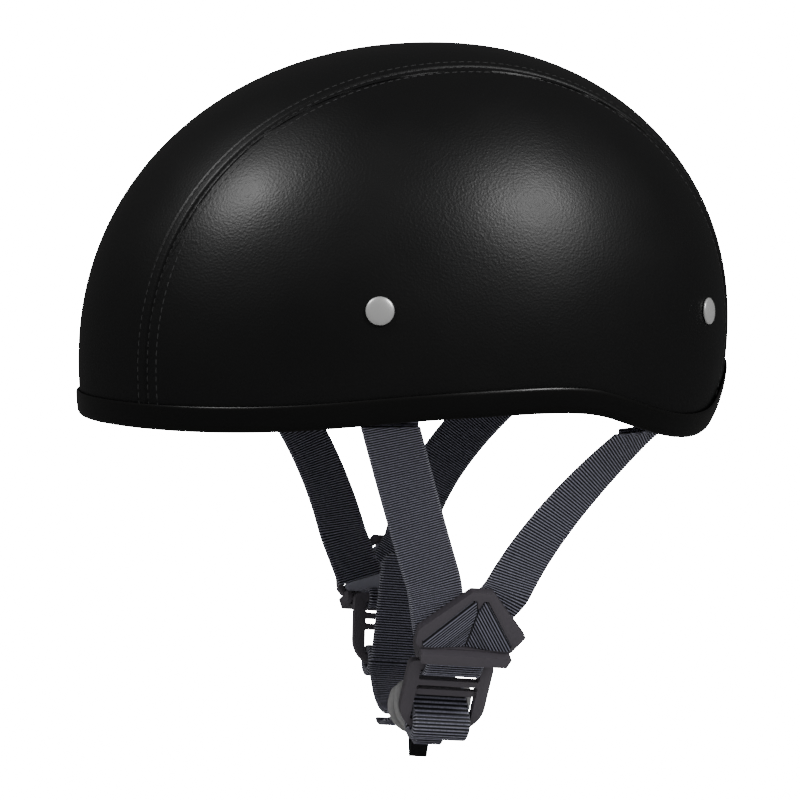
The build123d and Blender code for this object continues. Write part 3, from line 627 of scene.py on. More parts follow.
def webbing_finish():
    """Ribbed webbing, with painted light on its rib tops and painted shade in its rib valleys."""
    tone = np.array(colours().webbing)
    material, tree, shader, new = finish(
        "ribbed_webbing", tone, 0.50, Sheen_Weight=0.15, Sheen_Roughness=0.4,
    )
    if new:
        weave_with_painted_rib_light = placed(
            tree, "weave_with_painted_rib_light", Yarn=(*(tone * RIB_TOP_PAINTED_LIGHT), 1), Valley=(*(tone * VALLEY_PAINTED_SHADE), 1),
            Picks=(*colours().pick, 1),
        )
        tree.links.new(weave_with_painted_rib_light.outputs["Color"], shader.inputs["Base Color"])
        bumped(tree, shader, weave_with_painted_rib_light.outputs["Height"], 0.5, 0.0002)
    return material


def cloth_finish(name, colour):
    """Knitted cloth, with painted shade in the knit's low parts."""
    material, tree, shader, new = finish(name, colour, 0.85, Sheen_Weight=0.3)
    if new:
        knit_with_painted_shade = placed(tree, "knit_with_painted_shade", Cloth=(*colour, 1))
        tree.links.new(knit_with_painted_shade.outputs["Color"], shader.inputs["Base Color"])
        bumped(tree, shader, knit_with_painted_shade.outputs["Height"], 0.4, 0.0004)
    return material


# Leather ---------------------------------------------------------------------------------------

def seam_inset(distance):
    """Inset of the leather by its distance from a seam.

    The turned edge rolls down into the seam, stands up a little beside it, and each stitch row
    presses a narrow line into it.
    """
    swell = sizes().seam_swell / MM
    row = sizes().stitch_offset / MM
    edge = 0.9 * np.exp(-(distance / 0.55) ** 2)
    raised = swell * np.clip(1.15 - (distance / (row + 0.8)) ** 4, 0, 1)
    pressed = 0.38 * np.exp(-((distance - row) / 0.42) ** 2)
    return edge + pressed - raised


def spread(*stretches):
    """Places along stretches, each given by its low end, high end and count."""
    return np.concatenate([np.linspace(*stretch) for stretch in stretches])


def slice_profile(y, steps, inset):
    """Line over the dome at constant places to the left, from the front rim to the rear rim.

    The depth runs from the top of the slice to the rim with one less the cosine of a quarter turn, and
    the place along X is the layer's half ellipse solved for it.
    """
    share = np.clip(np.abs(y) / (SIDE[0] - inset), 0, 1)
    power = SIDE[2]
    top = SIDE[1] - (SIDE[1] - inset) * (1 - share ** power) ** (1 / power)
    lines = []
    for form, sign in ((FRONT, 1), (REAR, -1)):
        edge = np.full(y.shape, RIM_DEPTH)
        for _ in range(10):
            inside = np.clip(1 - (y / reach(SIDE, edge, inset)) ** 2, 0, 1)
            edge = rim_depth(sign * reach(form, edge, inset) * np.sqrt(inside)) - HEM
        turn = np.linspace(0, math.pi / 2, steps)[None]
        depth = top[:, None] + (edge - top)[:, None] * (1 - np.cos(turn))
        inside = np.clip(1 - (y[:, None] / reach(SIDE, depth, inset[:, None])) ** 2, 0, 1)
        x = sign * reach(form, depth, inset[:, None]) * np.sqrt(inside)
        lines.append(np.stack((x, y[:, None] + 0 * x, CROWN - depth), axis=-1))
    return np.concatenate((lines[0][:, ::-1], lines[1][:, 1:]), axis=1)


def centre_skin(extra):
    """Outer or inner skin of the middle panel: slices over the dome between the two seams."""
    row = sizes().stitch_offset / MM
    half = SEAM - SEAM_GAP / 2
    distance = spread((0, 1.6, 9), (1.9, row - 1.1, 4), (row - 0.9, row + 0.9, 9), (row + 1.4, half, 26))
    y = half - distance
    y = np.concatenate((y, -y[-2::-1]))
    distance = np.concatenate((distance, distance[-2::-1]))
    inset = extra if extra else seam_inset(distance)
    return slice_profile(y, 150, inset + np.zeros(len(y)))


DROP = 90


def side_skin(extra):
    """Outer or inner skin of a side panel: from the seam's plane down to the rim, for each angle.

    A column goes down the dome at one angle, from the depth where the layer crosses the seam's plane.
    """
    plane = SEAM + SEAM_GAP / 2
    power = SIDE[2]
    start = math.asin(plane / (SIDE[0] - 1.3)) + 1e-4
    turn = np.linspace(0, 1, 260)
    turn = turn - 0.12 * np.sin(ROUND * turn) / ROUND
    angle = (start + (math.pi - 2 * start) * turn)[:, None]
    near = spread((0, 1.6, 9), (1.9, 3.3, 4), (3.6, 5.4, 9), (6.0, 10, 6)) / DROP
    share = np.clip(plane / np.sin(angle) / SIDE[0], 0, 1)
    root = (1 - share ** power) ** (1 / power)
    top = SIDE[1] * (1 - root)
    under = SIDE[1] * (1 + root)
    rim = CROWN - rim_point(angle, 0.0, HEM)[..., 2]
    low = np.minimum(rim, under)
    shares = np.concatenate((near, np.linspace(near[-1] + 0.012, 1, 64)))[None]
    room = low - top
    wide = np.clip(room / DROP, 0.02, 1)
    depth = top + room * np.clip(shares, 0, 1)
    crossed = layer_point(angle, depth, 0.0)[..., 1] - plane
    slope = np.gradient(layer_point(angle, depth, 0.0), axis=1)
    steep = np.abs(slope[..., 1]) / np.maximum(np.linalg.norm(slope, axis=-1), 1e-9)
    inset = np.full(depth.shape, extra) if extra else seam_inset(crossed / np.maximum(steep, 0.35))
    return layer_point(angle, depth, inset * np.minimum(wide * 4, 1) if not extra else inset)


def border(points):
    """Border of a grid, once round."""
    return np.concatenate((points[0], points[1:, -1], points[-1, -2::-1], points[-2::-1, 0]))


def closed_skin(outer, inner):
    """Joins an outer and an inner skin of the same grid into one closed wall."""
    wall = np.stack((border(outer), border(inner)))
    return [(outer, None), (inner, None), (wall, None)]


class HELMET_OT_leather(bpy.types.Operator):
    """Leather covering: a middle panel and two side panels, with turned seams"""

    bl_idname = "helmet.leather"
    bl_label = "Leather panels"

    def execute(self, context):
        panels = (
            ("middle_leather", centre_skin, False, "leather_centre_panel"),
            ("left_leather", side_skin, False, "leather_left_panel"),
            ("right_leather", side_skin, True, "leather_right_panel"),
        )
        for name, skin, mirrored, replaced in panels:
            piece = surface(name, closed_skin(skin(None), skin(LEATHER)), mirrored)
            dress(piece, leather_finish(), "leather", "helmet", replaced)
        return {"FINISHED"}


class HELMET_OT_stitches(bpy.types.Operator):
    """Topstitching, stitch by stitch: one row in each seam and one on each side of it"""

    bl_idname = "helmet.stitches"
    bl_label = "Topstitching"

    def execute(self, context):
        row = sizes().stitch_offset / MM
        pitch, long, thread = sizes().stitch_pitch / MM, sizes().stitch_long / MM, sizes().thread / MM
        for side, mirrored in (("left", False), ("right", True)):
            grids = []
            for offset in (-row, 0.0, row):
                sunk = np.array([0.05 if offset else 0.30])
                line = slice_profile(np.array([SEAM + offset]), 400, sunk)[0]
                line = resample(line, pitch / 8)
                way = unit(np.gradient(line, axis=0))
                centre = np.arange(12, len(line) - 12, 8)
                middle, along = line[centre], way[centre]
                sideways = unit(LEFT - along * (along @ LEFT)[:, None])
                out = np.cross(along, sideways)
                shares = np.array((-1, -0.9, -0.5, 0, 0.5, 0.9, 1.0))
                girth = np.array((0, 0.7, 1, 1.05, 1, 0.7, 0.0))
                turn = np.linspace(0, ROUND, 7)
                ring = np.cos(turn)[:, None, None] * sideways + np.sin(turn)[:, None, None] * out
                for place, direction, offsets in zip(middle, along, ring.transpose(1, 0, 2)):
                    spine = place + shares[:, None] * direction * long / 2
                    grids.append((spine[:, None] + girth[:, None, None] * offsets[None] * thread / 2, None))
            piece = surface(side + "_topstitching", grids, mirrored)
            dress(piece, plain_finish("thread", colours().thread, 0.6), "leather", "helmet")
        return {"FINISHED"}


BEAD = np.array((
    (-0.25, 9.9), (-0.6, 10.25), (-1.05, 10.2), (-1.35, 9.8), (-1.5, 9.0), (-1.62, 6.5), (-1.72, 4.0),
    (-1.68, 2.0), (-1.35, 0.75), (-0.7, 0.12), (0.4, -0.05), (2.6, 0.0), (4.9, -0.05),
    (6.0, 0.12), (6.6, 0.75),
    (6.8, 1.8), (6.8, 4.5), (6.75, 6.8), (6.5, 7.3), (6.0, 7.45), (5.6, 7.2), (5.5, 6.5), (5.5, 4.0),
    (5.5, 1.35), (2.6, 1.3), (-0.2, 1.3), (-0.2, 4.0), (-0.2, 7.0), (-0.2, 9.5), (-0.25, 9.9),
))


class HELMET_OT_trim(bpy.types.Operator):
    """Rubber edge trim: a rounded U section carried round the rim"""

    bl_idname = "helmet.trim"
    bl_label = "Edge trim"

    def execute(self, context):
        angle = np.linspace(0, ROUND, 541)
        angle = (angle + 0.10 * np.sin(2 * angle))[:, None]
        points = rim_point(angle, BEAD[None, :, 0], BEAD[None, :, 1])
        points[-1] = points[0]
        piece = surface("edge_beading", [(points, None)])
        dress(piece, trim_finish(), "trim_rubber", "helmet", "edge_trim")
        return {"FINISHED"}


class HELMET_OT_inside(bpy.types.Operator):
    """Shell, foam liner and lining cloth"""

    bl_idname = "helmet.inside"
    bl_label = "Shell and liner"

    def execute(self, context):
        nodes = frame["nodes"]
        plain = {
            "shell": plain_finish("shell_plastic", (0.01, 0.01, 0.01), 0.3),
            "impact_liner": grained("liner_foam", colours().foam, 0.75, 0.85, 700.0, 0.3, 0.0005),
            "rivet_washers": plain_finish("washer_metal", colours().rivet, 0.35, 1.0),
        }
        for name in nodes:
            if name.endswith("strap_end"):
                plain[name] = plain_finish("hidden_webbing", colours().webbing, 0.8)
        for name, material in plain.items():
            nodes[name].data.materials.clear()
            nodes[name].data.materials.append(material)
        steps = np.linspace(1, 0, 70)
        turn = np.linspace(0, ROUND, 361)[:, None]
        fold_low, fold_high = FOAM_RISE - 1.0, FOAM_RISE - 0.1

        def wall(inset, lift, shares):
            edge = CROWN - rim_point(turn, inset, lift)[..., 2]
            depth = inset + (edge - inset) * (1 - np.cos(shares * math.pi / 2))
            return layer_point(turn, depth, inset)

        folds = [rim_point(turn, inset, lift) for inset, lift in (
            (23.5, fold_low), (18.0, fold_low), (12.2, fold_low), (11.7, fold_low + 0.1),
            (11.5, fold_low + 0.45),
            (11.7, fold_high - 0.1), (12.2, fold_high), (18.0, fold_high), (24.4, fold_high),
        )]
        inner = wall(25.5, fold_low + 0.9, steps[::-1][None])
        corner = [rim_point(turn, 25.3, fold_low + 0.35), rim_point(turn, 24.8, fold_low + 0.08)]
        outer = wall(24.5, fold_high, steps[None])
        points = np.concatenate((inner, *corner, *folds, outer[:, 1:]), axis=1)
        points[-1] = points[0]
        piece = surface("lining", [(points, None)])
        material = cloth_finish("lining_cloth", colours().lining)
        dress(piece, material, "lining_fabric", "helmet", "lining_cloth")
        return {"FINISHED"}


PAD_MIDDLE = 28.6
PAD_GRAIN = 0.0026
PRESSURE, FRAMES = 4, 20


def puffed(piece, cap):
    """Lets air pressure swell a remeshed pad, with its seat on the lining held.

    Points further out than the middle of the wall are pinned, and no point moves further than the cap.
    """
    remesh = piece.modifiers.new("remesh", "REMESH")
    remesh.mode = "VOXEL"
    remesh.voxel_size = PAD_GRAIN
    bake(piece, remesh)
    rest = np.empty(len(piece.data.vertices) * 3)
    piece.data.vertices.foreach_get("co", rest)
    rest = rest.reshape(-1, 3)
    depth = CROWN - rest[:, 2] / MM
    middle = [reach(form, depth, PAD_MIDDLE) for form in (FRONT, REAR, SIDE)]
    along = np.where(rest[:, 0] > 0, middle[0], middle[1])
    across = np.maximum(middle[2], 1e-6)
    level = (rest[:, 0] / MM / np.maximum(along, 1e-6)) ** 2 + (rest[:, 1] / MM / across) ** 2
    pinned = level > 1.0
    seat = piece.vertex_groups.new(name="seat")
    seat.add(np.flatnonzero(pinned).tolist(), 1.0, "REPLACE")
    cloth = piece.modifiers.new("puff", "CLOTH")
    cloth.settings.use_pressure = True
    cloth.settings.uniform_pressure_force = PRESSURE
    cloth.settings.vertex_group_mass = "seat"
    cloth.settings.effector_weights.gravity = 0
    cloth.settings.quality = 4
    cloth.point_cache.frame_start = 1
    cloth.point_cache.frame_end = FRAMES
    for number in range(1, FRAMES + 1):
        bpy.context.scene.frame_set(number)
    seen = piece.evaluated_get(bpy.context.evaluated_depsgraph_get())
    moved = np.empty(len(rest) * 3)
    seen.data.vertices.foreach_get("co", moved)
    step = moved.reshape(-1, 3) - rest
    far = np.linalg.norm(step, axis=1)
    step *= np.minimum(1, cap / np.maximum(far, 1e-9))[:, None]
    piece.modifiers.remove(cloth)
    piece.data.vertices.foreach_set("co", (rest + step).ravel())
    bpy.context.scene.frame_set(1)
    piece.vertex_groups.clear()
    smooth = piece.modifiers.new("smooth", "SMOOTH")
    smooth.iterations = 3
    bake(piece, smooth)
    finer = piece.modifiers.new("finer", "SUBSURF")
    finer.levels = finer.render_levels = 1
    bake(piece, finer)
    soften(piece, 180)


class HELMET_OT_pads(bpy.types.Operator):
    """Comfort pads, puffed up against the lining"""

    bl_idname = "helmet.pads"
    bl_label = "Comfort pads"

    def execute(self, context):
        for name in ("crown", "brow", "nape", "left_temple", "right_temple"):
            piece = copy_of(name + "_pad", name + "_cushion")
            puffed(piece, sizes().pad_swell)
            dress(piece, cloth_finish("pad_cloth", colours().pads), "pad_fabric", "helmet", name + "_pad")
        return {"FINISHED"}


RIVETS = ((54.2, 106.4), (-94.1, 111.1))


class HELMET_OT_rivets(bpy.types.Operator):
    """Four rivets with domed heads and clenched tails, turned about their own axes"""

    bl_idname = "helmet.rivets"
    bl_label = "Rivets"

    def execute(self, context):
        turn = np.linspace(0, ROUND, 41)
        dome = np.linspace(0, 1, 9)[1:]
        head = [(5.5 * math.cos(t * math.pi / 2), 0.55 + 1.25 * math.sin(t * math.pi / 2)) for t in dome]
        profile = np.array(
            [(0, -10.4), (4.2, -10.4), (4.5, -10.1), (4.5, -9.3), (2.5, -9.2), (2.5, 0.05), (5.1, 0.05)]
            + [(5.45, 0.25), (5.5, 0.5)] + head
        )
        grids = []
        for x, depth in RIVETS:
            place, out = outward(x, depth)
            side = unit(np.cross(out, (0, 0, 1.0)))
            other = np.cross(out, side)
            ring = np.cos(turn)[:, None] * side + np.sin(turn)[:, None] * other
            radius, height = profile[:, 0, None, None], profile[:, 1, None, None]
            points = place + height * out + radius * ring[None]
            grids += [(points, None), (points * (1, -1, 1), None)]
        piece = surface("rivets", grids)
        material = plain_finish("rivet_metal", colours().rivet, 0.36, 0.7)
        dress(piece, material, "rivet_metal", "helmet", "strap_rivets")
        return {"FINISHED"}


# Straps ----------------------------------------------------------------------------------------

YOKE_PLATE = leaning(YOKE_Y, YOKE_W, YOKE_LEAN)
REAR_BAR_Y = YOKE_Y - REAR_BAR_DROP * math.sin(YOKE_LEAN) - REAR_BAR_IN * math.cos(YOKE_LEAN)
REAR_BAR_W = YOKE_W - REAR_BAR_DROP * math.cos(YOKE_LEAN) + REAR_BAR_IN * math.sin(YOKE_LEAN)


def on_yoke(u, v, deep):
    """Point in the yoke's own plane: along, up the plate and inboard of its face."""
    origin, along, up, inboard = YOKE_PLATE
    u, v, deep = np.broadcast_arrays(np.asarray(u, float), v, deep)
    return origin + u[..., None] * along + v[..., None] * up + deep[..., None] * inboard


def rim_exit(x, depth):
    """Where the middle of a strap leaves the rim, and the level way along the shell there."""
    inward = STRAP_DRIFT * (depth / LOFT_DEPTH) ** DRIFT_POWER
    along = reach(FRONT if x > 0 else REAR, depth, STRAP_INSET) - inward
    y = (reach(SIDE, depth, STRAP_INSET) - inward) * math.sqrt(1 - (x / along) ** 2)
    way = np.cross(outward(x, depth)[1], (0, 0, 1.0))
    return np.array((x, y, CROWN - depth)), way * (1 if way[0] > 0 else -1)


SMOOTHING = 260
STUB_INWARD, STUB_SPAN = 3.2, (0.75, -1.15)


def strap_strip(leave, entry, end, bow):
    """Webbing from the rim to the yoke: a straight line plus a bow of four s times one less s.

    Its width turns from the shell's own direction to the yoke's. It ends flat behind the plate, and its
    top is cut level, half the hinge's gap below the rim.
    """
    start, wide = rim_exit(*leave)
    layer = YOKE_WALL + 0.3 + THICK / 2
    entry, end = on_yoke(*entry, layer), on_yoke(*end, layer)
    flat = np.cross(YOKE_PLATE[3], unit(end - entry))
    share = np.linspace(-0.06, 1, 200)[:, None]
    line = start + (entry - start) * share + np.array(bow) * 4 * share * (1 - share)
    line = resample(np.concatenate((line, end[None])), row_step())
    for _ in range(SMOOTHING):
        line[1:-1] = (line[:-2] + 2 * line[1:-1] + line[2:]) / 4
    turned = np.clip((line - start) @ (entry - start) / np.linalg.norm(entry - start) ** 2, 0, 1)[:, None]
    across = unit(wide) * (1 - turned) + flat * turned
    way = unit(np.gradient(line, axis=0))
    across = unit(across - way * np.sum(across * way, axis=1)[:, None])
    out = np.cross(way, across)
    points, places = ribbon(line, across * WEBBING / 2, out * THICK / 2)
    top = start[2] - HINGE_GAP / 2
    first = int(np.argmax(points[1:-1, :, 2].min(axis=1) < top))
    body = points[1 + first:-1]
    above = np.maximum(body[..., 2] - top, 0)
    body = body - way[first] * (above / way[first, 2])[..., None]
    cap = np.repeat(body[:1].mean(axis=1, keepdims=True), body.shape[1], axis=1)
    kept = np.concatenate((places[1 + first:2 + first], places[1 + first:]))
    return np.concatenate((cap, body, points[-1:])), kept


def rim_stub(leave):
    """Short end of a strap inside the rim, behind the top of the hanging strap."""
    start, wide = rim_exit(*leave)
    across = np.repeat(unit(wide)[None], 4, axis=0)
    out = np.cross(across, (0, 0, 1.0))
    out = out * np.sign(out[:, 1:2])
    line = start - STUB_INWARD * out + np.linspace(*STUB_SPAN, 4)[:, None] * (0, 0, 1.0)
    return ribbon(line, across * WEBBING / 2, out * THICK / 2)


FOLD = np.array((
    (0.80, 0.045), (0.84, 0.065), (0.855, 0.125), (0.145, 0.845), (0.085, 0.845), (0.02, 0.69), (0.02, 0.045),
))
CREST = 0.14


def window_fold(side):
    """Fold of the webbing in half of the yoke's window.

    The half window is cut by lines parallel to its sloping border. The face rises from the border to a
    crest, then drops away towards the low inner corner as a quarter wave, and each rib follows the slope.
    """
    corners = FOLD * (side * YOKE_HALF, YOKE_HIGH)
    slope = unit(corners[3] - corners[2])
    away = np.array((-slope[1], slope[0]))
    away = away * np.sign((corners[6] - corners[3]) @ away)
    depth = (corners - corners[2]) @ away
    along = (corners - corners[2]) @ slope
    deepest = depth.max()
    t = np.linspace(0.002, 0.996, 120)
    closed = np.concatenate((np.arange(7), [0]))
    low, high = np.full(len(t), np.inf), np.full(len(t), -np.inf)
    for first, second in zip(closed[:-1], closed[1:]):
        rise = depth[second] - depth[first]
        if abs(rise) < 1e-6:
            continue
        share = (t * deepest - depth[first]) / rise
        inside = (share >= 0) & (share <= 1)
        place = along[first] + share * (along[second] - along[first])
        low = np.where(inside, np.minimum(low, place), low)
        high = np.where(inside, np.maximum(high, place), high)
    s = np.linspace(0, 1, 40)[:, None]
    run = low + (high - low) * s
    flat = corners[2] + run[..., None] * slope + (t * deepest)[None, :, None] * away
    ribs = t * deepest / (sizes().rib_pitch / MM)
    past = np.clip((t - CREST) / (1 - CREST), 0, 1)
    before = np.clip(1 - t / 0.10, 0, 1)
    drop = 2.2 * (1 - np.cos(past * math.pi / 2)) + 1.3 * before ** 2
    deep = -0.7 + drop - sizes().rib_height / MM * np.cos(ROUND * ribs)
    front = on_yoke(flat[..., 0], flat[..., 1], np.minimum(deep, YOKE_WALL + 0.3) + 0 * run)
    back = on_yoke(flat[..., 0], flat[..., 1], YOKE_WALL + 0.6 + 0 * run)
    places = np.stack((ribs + 0 * run, 0.5 + 0 * run), axis=-1)
    wall = np.stack((border(front), border(back)))
    return [(front, places), (back, None), (wall, np.stack((border(places),) * 2))]


FRONT_STRAP = (FRONT_EXIT, (19.8, 28.9), (11.7, 7.0))
REAR_STRAP = (REAR_EXIT, (-11.5, 26.5), (-4.0, 12.5))


class HELMET_OT_straps(bpy.types.Operator):
    """Front and rear straps of both sides, with their folds in the yokes"""

    bl_idname = "helmet.straps"
    bl_label = "Harness straps"

    def execute(self, context):
        straps = (
            ("left_front", False, 1, *FRONT_STRAP, (0, -1.3, 0)),
            ("left_rear", False, -1, *REAR_STRAP, (7.0, 2.3, 0)),
            ("right_front", True, 1, *FRONT_STRAP, (-5.0, 5.0, 0)),
            ("right_rear", True, -1, *REAR_STRAP, (7.0, 5.0, 0)),
        )
        for name, mirrored, side, leave, entry, end, bow in straps:
            grids = [strap_strip(leave, entry, end, bow)] + window_fold(side)
            piece = surface(name + "_webbing", grids, mirrored)
            body = name.split("_")[0] + "_harness"
            dress(piece, webbing_finish(), "webbing", body, name + "_strap")
        stubs = [rim_stub(leave) for leave in (FRONT_EXIT, REAR_EXIT)]
        for side, mirrored in (("left", False), ("right", True)):
            dress(surface(side + "_rim_stubs", stubs, mirrored), webbing_finish(), "webbing", "helmet")
        return {"FINISHED"}


class HELMET_OT_moulded(bpy.types.Operator):
    """Yokes and ladder frames: the CAD shapes with their edges rounded"""

    bl_idname = "helmet.moulded"
    bl_label = "Yokes and ladder frames"

    def execute(self, context):
        pieces = (
            ("left_yoke", "left_divider", "left_harness"),
            ("right_yoke", "right_divider", "right_harness"),
            ("left_ladder_frame", "left_adjuster", "left_frame"),
            ("right_ladder_frame", "right_adjuster", "right_frame"),
        )
        for node_name, name, body in pieces:
            piece = copy_of(node_name, name)
            work = bmesh.new()
            work.from_mesh(piece.data)
            flat = math.radians(2)
            bmesh.ops.dissolve_limit(work, angle_limit=flat, verts=work.verts, edges=work.edges)
            work.to_mesh(piece.data)
            work.free()
            edge = piece.modifiers.new("edge", "BEVEL")
            edge.width = sizes().plastic_edge
            edge.segments = 3
            edge.limit_method = "ANGLE"
            edge.angle_limit = math.radians(30)
            edge.harden_normals = False
            bake(piece, edge)
            soften(piece, 35)
            dress(piece, plastic_finish(), "buckle_plastic", body, node_name)
        return {"FINISHED"}


class HELMET_OT_links(bpy.types.Operator):
    """Webbing loops between yokes and ladder frames, and the loop that carries the rings"""

    bl_idname = "helmet.links"
    bl_label = "Webbing loops"

    def execute(self, context):
        for side, right in (("left", False), ("right", True)):
            rear_bar = (REAR_BAR_Y, REAR_BAR_W, REAR_BAR / 2 + 0.3)
            bars = ((*bar_place(TOP_BAR / 2, right), TOP_RADIUS), rear_bar)
            outer = [(y, w, radius + THICK) for y, w, radius in bars]
            piece = surface(side + "_yoke_loop", [loop_strip(bars, outer, CHIN / 2)], right)
            dress(piece, webbing_finish(), "webbing", side + "_harness", side + "_link_webbing")
        place = bar_place(FRAME_HIGH - BOTTOM_BAR / 2)
        bars = (
            (*place, BOTTOM_RADIUS, 3.2),
            (RING_A[0], RING_A[1], WIRE / 2 + 0.5, THICK),
            (RING_B[0], RING_B[1], WIRE / 2 + 0.5, THICK),
        )
        inner = [(y, w, radius) for y, w, radius, _ in bars]
        outer = [(y, w, radius + wall) for y, w, radius, wall in bars]

        def half_width(middle):
            return np.interp(middle[:, 0], (27.5, 31.0), (9.8, CHIN / 2))

        piece = surface("ring_carrier", [loop_strip(inner, outer, half_width)])
        dress(piece, webbing_finish(), "webbing", "ring_hanger", "ring_loop")
        return {"FINISHED"}


class HELMET_OT_rings(bpy.types.Operator):
    """Two D rings: a round wire carried round a straight top and a half round bottom"""

    bl_idname = "helmet.rings"
    bl_label = "D rings"

    def execute(self, context):
        half = (RING_WIDE - WIRE) / 2
        turn = np.linspace(0, math.pi / 2, 12)
        bend = np.linspace(0, -math.pi, 60)
        low = half - RING_DROP
        outline = np.concatenate((
            np.stack((half - RING_CORNER * (1 - np.sin(turn)), RING_CORNER * (np.cos(turn) - 1)), axis=-1),
            np.stack((half * np.cos(bend), low + half * np.sin(bend)), axis=-1),
            np.stack((-half + RING_CORNER * (1 - np.cos(turn)), RING_CORNER * (np.sin(turn) - 1)), axis=-1),
        ))
        outline = np.concatenate((outline, outline[:1]))
        outline = resample(outline, 0.8)
        way = np.roll(outline[:-1], -1, axis=0) - np.roll(outline[:-1], 1, axis=0)
        way = unit(np.concatenate((way, way[:1])))
        girth = np.linspace(0, ROUND, 25)
        rings = (
            ("hanging_ring", RING_A, "ring_hanger", "inner_d_ring"),
            ("lifting_ring", RING_B, "release_ring", "release_d_ring"),
        )
        for name, (y, w, lean), body, replaced in rings:
            origin, along, up, inboard = leaning(y, w, lean, RING_U)
            line = origin + outline[:, :1] * along + outline[:, 1:] * up
            side = -way[:, 1:] * along + way[:, :1] * up
            points = line[:, None] + WIRE / 2 * (
                np.cos(girth)[None, :, None] * side[:, None] + np.sin(girth)[None, :, None] * inboard
            )
            points[-1] = points[0]
            piece = surface(name, [(points, None)])
            material = plain_finish("ring_steel", colours().steel, 0.36, 0.75)
            dress(piece, material, "ring_steel", body, replaced)
        return {"FINISHED"}


CHIN_UPPER = ((-28.4, -24.0), (-25.5, -28.5), (-16.0, -36.0), (-1.0, -39.4), (13.0, -36.9), (25.1, -37.7))
CHIN_FOLD = (25.1, -41.9, 4.2)
CHIN_LOWER = (
    (25.1, -46.1), (21.3, -44.3), (17.3, -40.8), (12.5, -39.0), (6.0, -40.6), (-2.0, -44.6), (-10.0, -44.5),
)
TAIL_Y, TAIL_ENDS = -27.0, (-21.5, 26.0)
TAB_DROP, TAB_HALF = 10.5, 4.0


class HELMET_OT_chin(bpy.types.Operator):
    """Chin strap with its fold round the rings, its free end and the pull tab"""

    bl_idname = "helmet.chin"
    bl_label = "Chin strap"

    def execute(self, context):
        turn = np.linspace(math.pi / 2, -math.pi / 2, 40)[1:-1]
        y, w, radius = CHIN_FOLD
        fold = np.stack((y + radius * np.cos(turn), w + radius * np.sin(turn)), axis=-1)
        route = np.concatenate((
            curve_through(CHIN_UPPER, (0, -1), (1, 0)),
            fold,
            curve_through(CHIN_LOWER, (-1, 0), (-1, 1)),
        ))
        route = resample(route, row_step())
        half = np.interp(route[:, 0], (3.0, 11.0), (CHIN / 2, 6.0))
        y, w = bar_place(FRAME_HIGH - BOTTOM_BAR / 2, True)
        loop = loop_strip(((-y, w, BOTTOM_RADIUS),), ((-y, w, BOTTOM_RADIUS + 3.2),), CHIN / 2)
        piece = surface("chin_webbing", [flat_route(route, half), loop])
        dress(piece, webbing_finish(), "webbing", "chin_strap_body", "chin_strap")

        high = np.linspace(*TAIL_ENDS, 400)
        tail = resample(np.stack((TAIL_Y + 0 * high, high), axis=-1), row_step())
        corner = 5.0
        rest = np.clip(corner - (TAIL_ENDS[1] - tail[:, 1]), 0, corner)
        half = CHIN / 2 - corner + np.sqrt(np.maximum(corner ** 2 - rest ** 2, 0.01))
        piece = surface("adjuster_end", [flat_route(tail, half)])
        dress(piece, webbing_finish(), "webbing", "right_frame", "chin_strap_tail")

        y = RING_B[0] - RING_DROP * math.sin(RING_B[2])
        w = RING_B[1] - RING_DROP * math.cos(RING_B[2]) + 0.25
        tip = (y + 2.0, w - TAB_DROP)
        inner = ((y, w, 2.8), (*tip, 0.03))
        outer = ((y, w, 3.5), (*tip, 0.7))
        piece = surface("tab_ribbon", [loop_strip(inner, outer, TAB_HALF, RING_U)])
        material = plain_finish("tab_ribbon", colours().ribbon, 0.7, Sheen_Weight=0.1)
        dress(piece, material, "tab_ribbon", "pull_tab_body", "pull_tab")
        return {"FINISHED"}


# Stage -----------------------------------------------------------------------------------------

TARGET = Vector((0.0147, 0.0, -0.12035))
VIEW = Vector((0.2908, 0.9511, 0.1045))
BACKDROP, ROOM, DIM = 30.0, 0.70, 0.06
FLOOR_HALF = 20.0


def floor_finish():
    """Pale floor that keeps a soft shadow and goes over into the backdrop's white."""
    material, tree, shader, new = finish("pale_floor", colours().floor, 1.0, Specular_IOR_Level=0.0)
    if new:
        path = node(tree, "ShaderNodeLightPath")
        glow = node(tree, "ShaderNodeEmission", Color=(1, 1, 1, 1), Strength=BACKDROP).outputs[0]
        joined = node(tree, "ShaderNodeAddShader", {0: shader.outputs[0], 1: glow}).outputs[0]
        seen = {0: path.outputs["Is Camera Ray"], 1: shader.outputs[0], 2: joined}
        both = node(tree, "ShaderNodeMixShader", seen)
        tree.links.new(both.outputs[0], tree.nodes["Material Output"].inputs["Surface"])
    return material


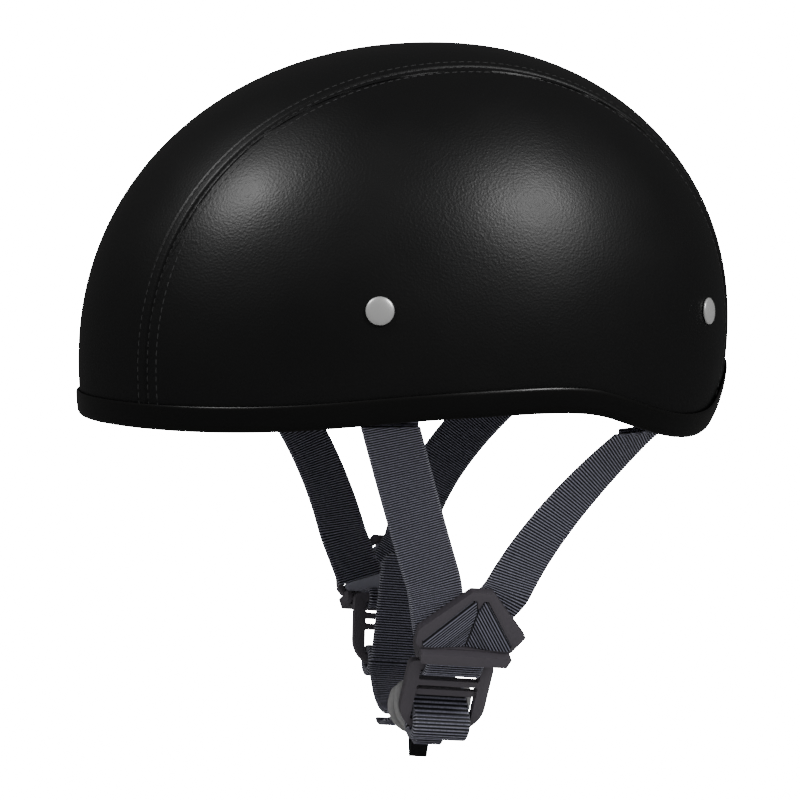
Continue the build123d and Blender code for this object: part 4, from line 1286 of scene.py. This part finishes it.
class HELMET_OT_stage(bpy.types.Operator):
    """Camera at the photograph's angle, pale floor, soft lights"""

    bl_idname = "helmet.stage"
    bl_label = "Stage"

    def execute(self, context):
        scene = context.scene
        lens = bpy.data.cameras.new("camera")
        lens.lens = 105
        lens.sensor_width = 36
        camera = bpy.data.objects.new("camera", lens)
        camera.location = TARGET + VIEW
        camera.rotation_euler = (-VIEW).to_track_quat("-Z", "Y").to_euler()
        scene.collection.objects.link(camera)
        scene.camera = camera

        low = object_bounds()[0][2]
        corners = [(x * FLOOR_HALF, y * FLOOR_HALF, low) for x, y in ((-1, -1), (1, -1), (1, 1), (-1, 1))]
        mesh = bpy.data.meshes.new("floor")
        mesh.from_pydata(corners, [], [(0, 1, 2, 3)])
        floor = bpy.data.objects.new("floor", mesh)
        scene.collection.objects.link(floor)
        floor.data.materials.append(floor_finish())
        floor.visible_glossy = False
        floor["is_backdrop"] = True

        world = bpy.data.worlds.new("soft_room")
        world.use_nodes = True
        scene.world = world
        tree = world.node_tree
        tree.nodes.clear()
        path = node(tree, "ShaderNodeLightPath")
        room, backdrop, dim = (
            node(tree, "ShaderNodeBackground", Color=(1, 1, 1, 1), Strength=strength).outputs[0]
            for strength in (ROOM, BACKDROP, DIM)
        )
        gloss = node(tree, "ShaderNodeMixShader", {0: path.outputs["Is Glossy Ray"], 1: room, 2: dim})
        seen = {0: path.outputs["Is Camera Ray"], 1: gloss.outputs[0], 2: backdrop}
        node(tree, "ShaderNodeOutputWorld", {0: node(tree, "ShaderNodeMixShader", seen).outputs[0]})

        lights = (
            ("side_box", (-0.56, 0.86, 0.75), 0.36, 7.0),
            ("front_box", (0.88, 0.16, 0.90), 0.36, 5.4),
        )
        for name, place, wide, power in lights:
            data = bpy.data.lights.new(name, "AREA")
            data.shape = "DISK"
            data.size = wide
            data.energy = power
            light = bpy.data.objects.new(name, data)
            light.location = place
            light.rotation_euler = (TARGET - light.location).to_track_quat("-Z", "Y").to_euler()
            scene.collection.objects.link(light)
        return {"FINISHED"}


# Panel and run ---------------------------------------------------------------------------------

OPERATORS = (
    HELMET_OT_leather,
    HELMET_OT_stitches,
    HELMET_OT_trim,
    HELMET_OT_inside,
    HELMET_OT_pads,
    HELMET_OT_rivets,
    HELMET_OT_straps,
    HELMET_OT_moulded,
    HELMET_OT_links,
    HELMET_OT_rings,
    HELMET_OT_chin,
    HELMET_OT_stage,
)


class HELMET_PT_panel(bpy.types.Panel):
    """Sizes, colours and pieces of the helmet"""

    bl_idname = "HELMET_PT_panel"
    bl_label = "Half shell helmet"
    bl_space_type = "VIEW_3D"
    bl_region_type = "UI"
    bl_category = "Helmet"

    def draw(self, context):
        layout = self.layout
        for group_name, holder in (("Sizes", sizes()), ("Colours", colours())):
            box = layout.box()
            box.label(text=group_name)
            for key in holder.bl_rna.properties.keys():
                if key not in ("rna_type", "name"):
                    box.prop(holder, key)
        for operator in OPERATORS:
            layout.operator(operator.bl_idname)


CLASSES = (HelmetSizes, HelmetColours, *OPERATORS, HELMET_PT_panel)


def register():
    """Registers the classes and the scene's two property groups."""
    for item in CLASSES:
        bpy.utils.register_class(item)
    bpy.types.Scene.helmet_sizes = PointerProperty(type=HelmetSizes)
    bpy.types.Scene.helmet_colours = PointerProperty(type=HelmetColours)


def unregister():
    """Takes them away again."""
    del bpy.types.Scene.helmet_colours
    del bpy.types.Scene.helmet_sizes
    for item in reversed(CLASSES):
        bpy.utils.unregister_class(item)


def main():
    """Makes every piece in order."""
    register()
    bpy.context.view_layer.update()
    for operator in OPERATORS:
        area, name = operator.bl_idname.split(".")
        getattr(getattr(bpy.ops, area), name)()


if __name__ == "__main__":
    main()
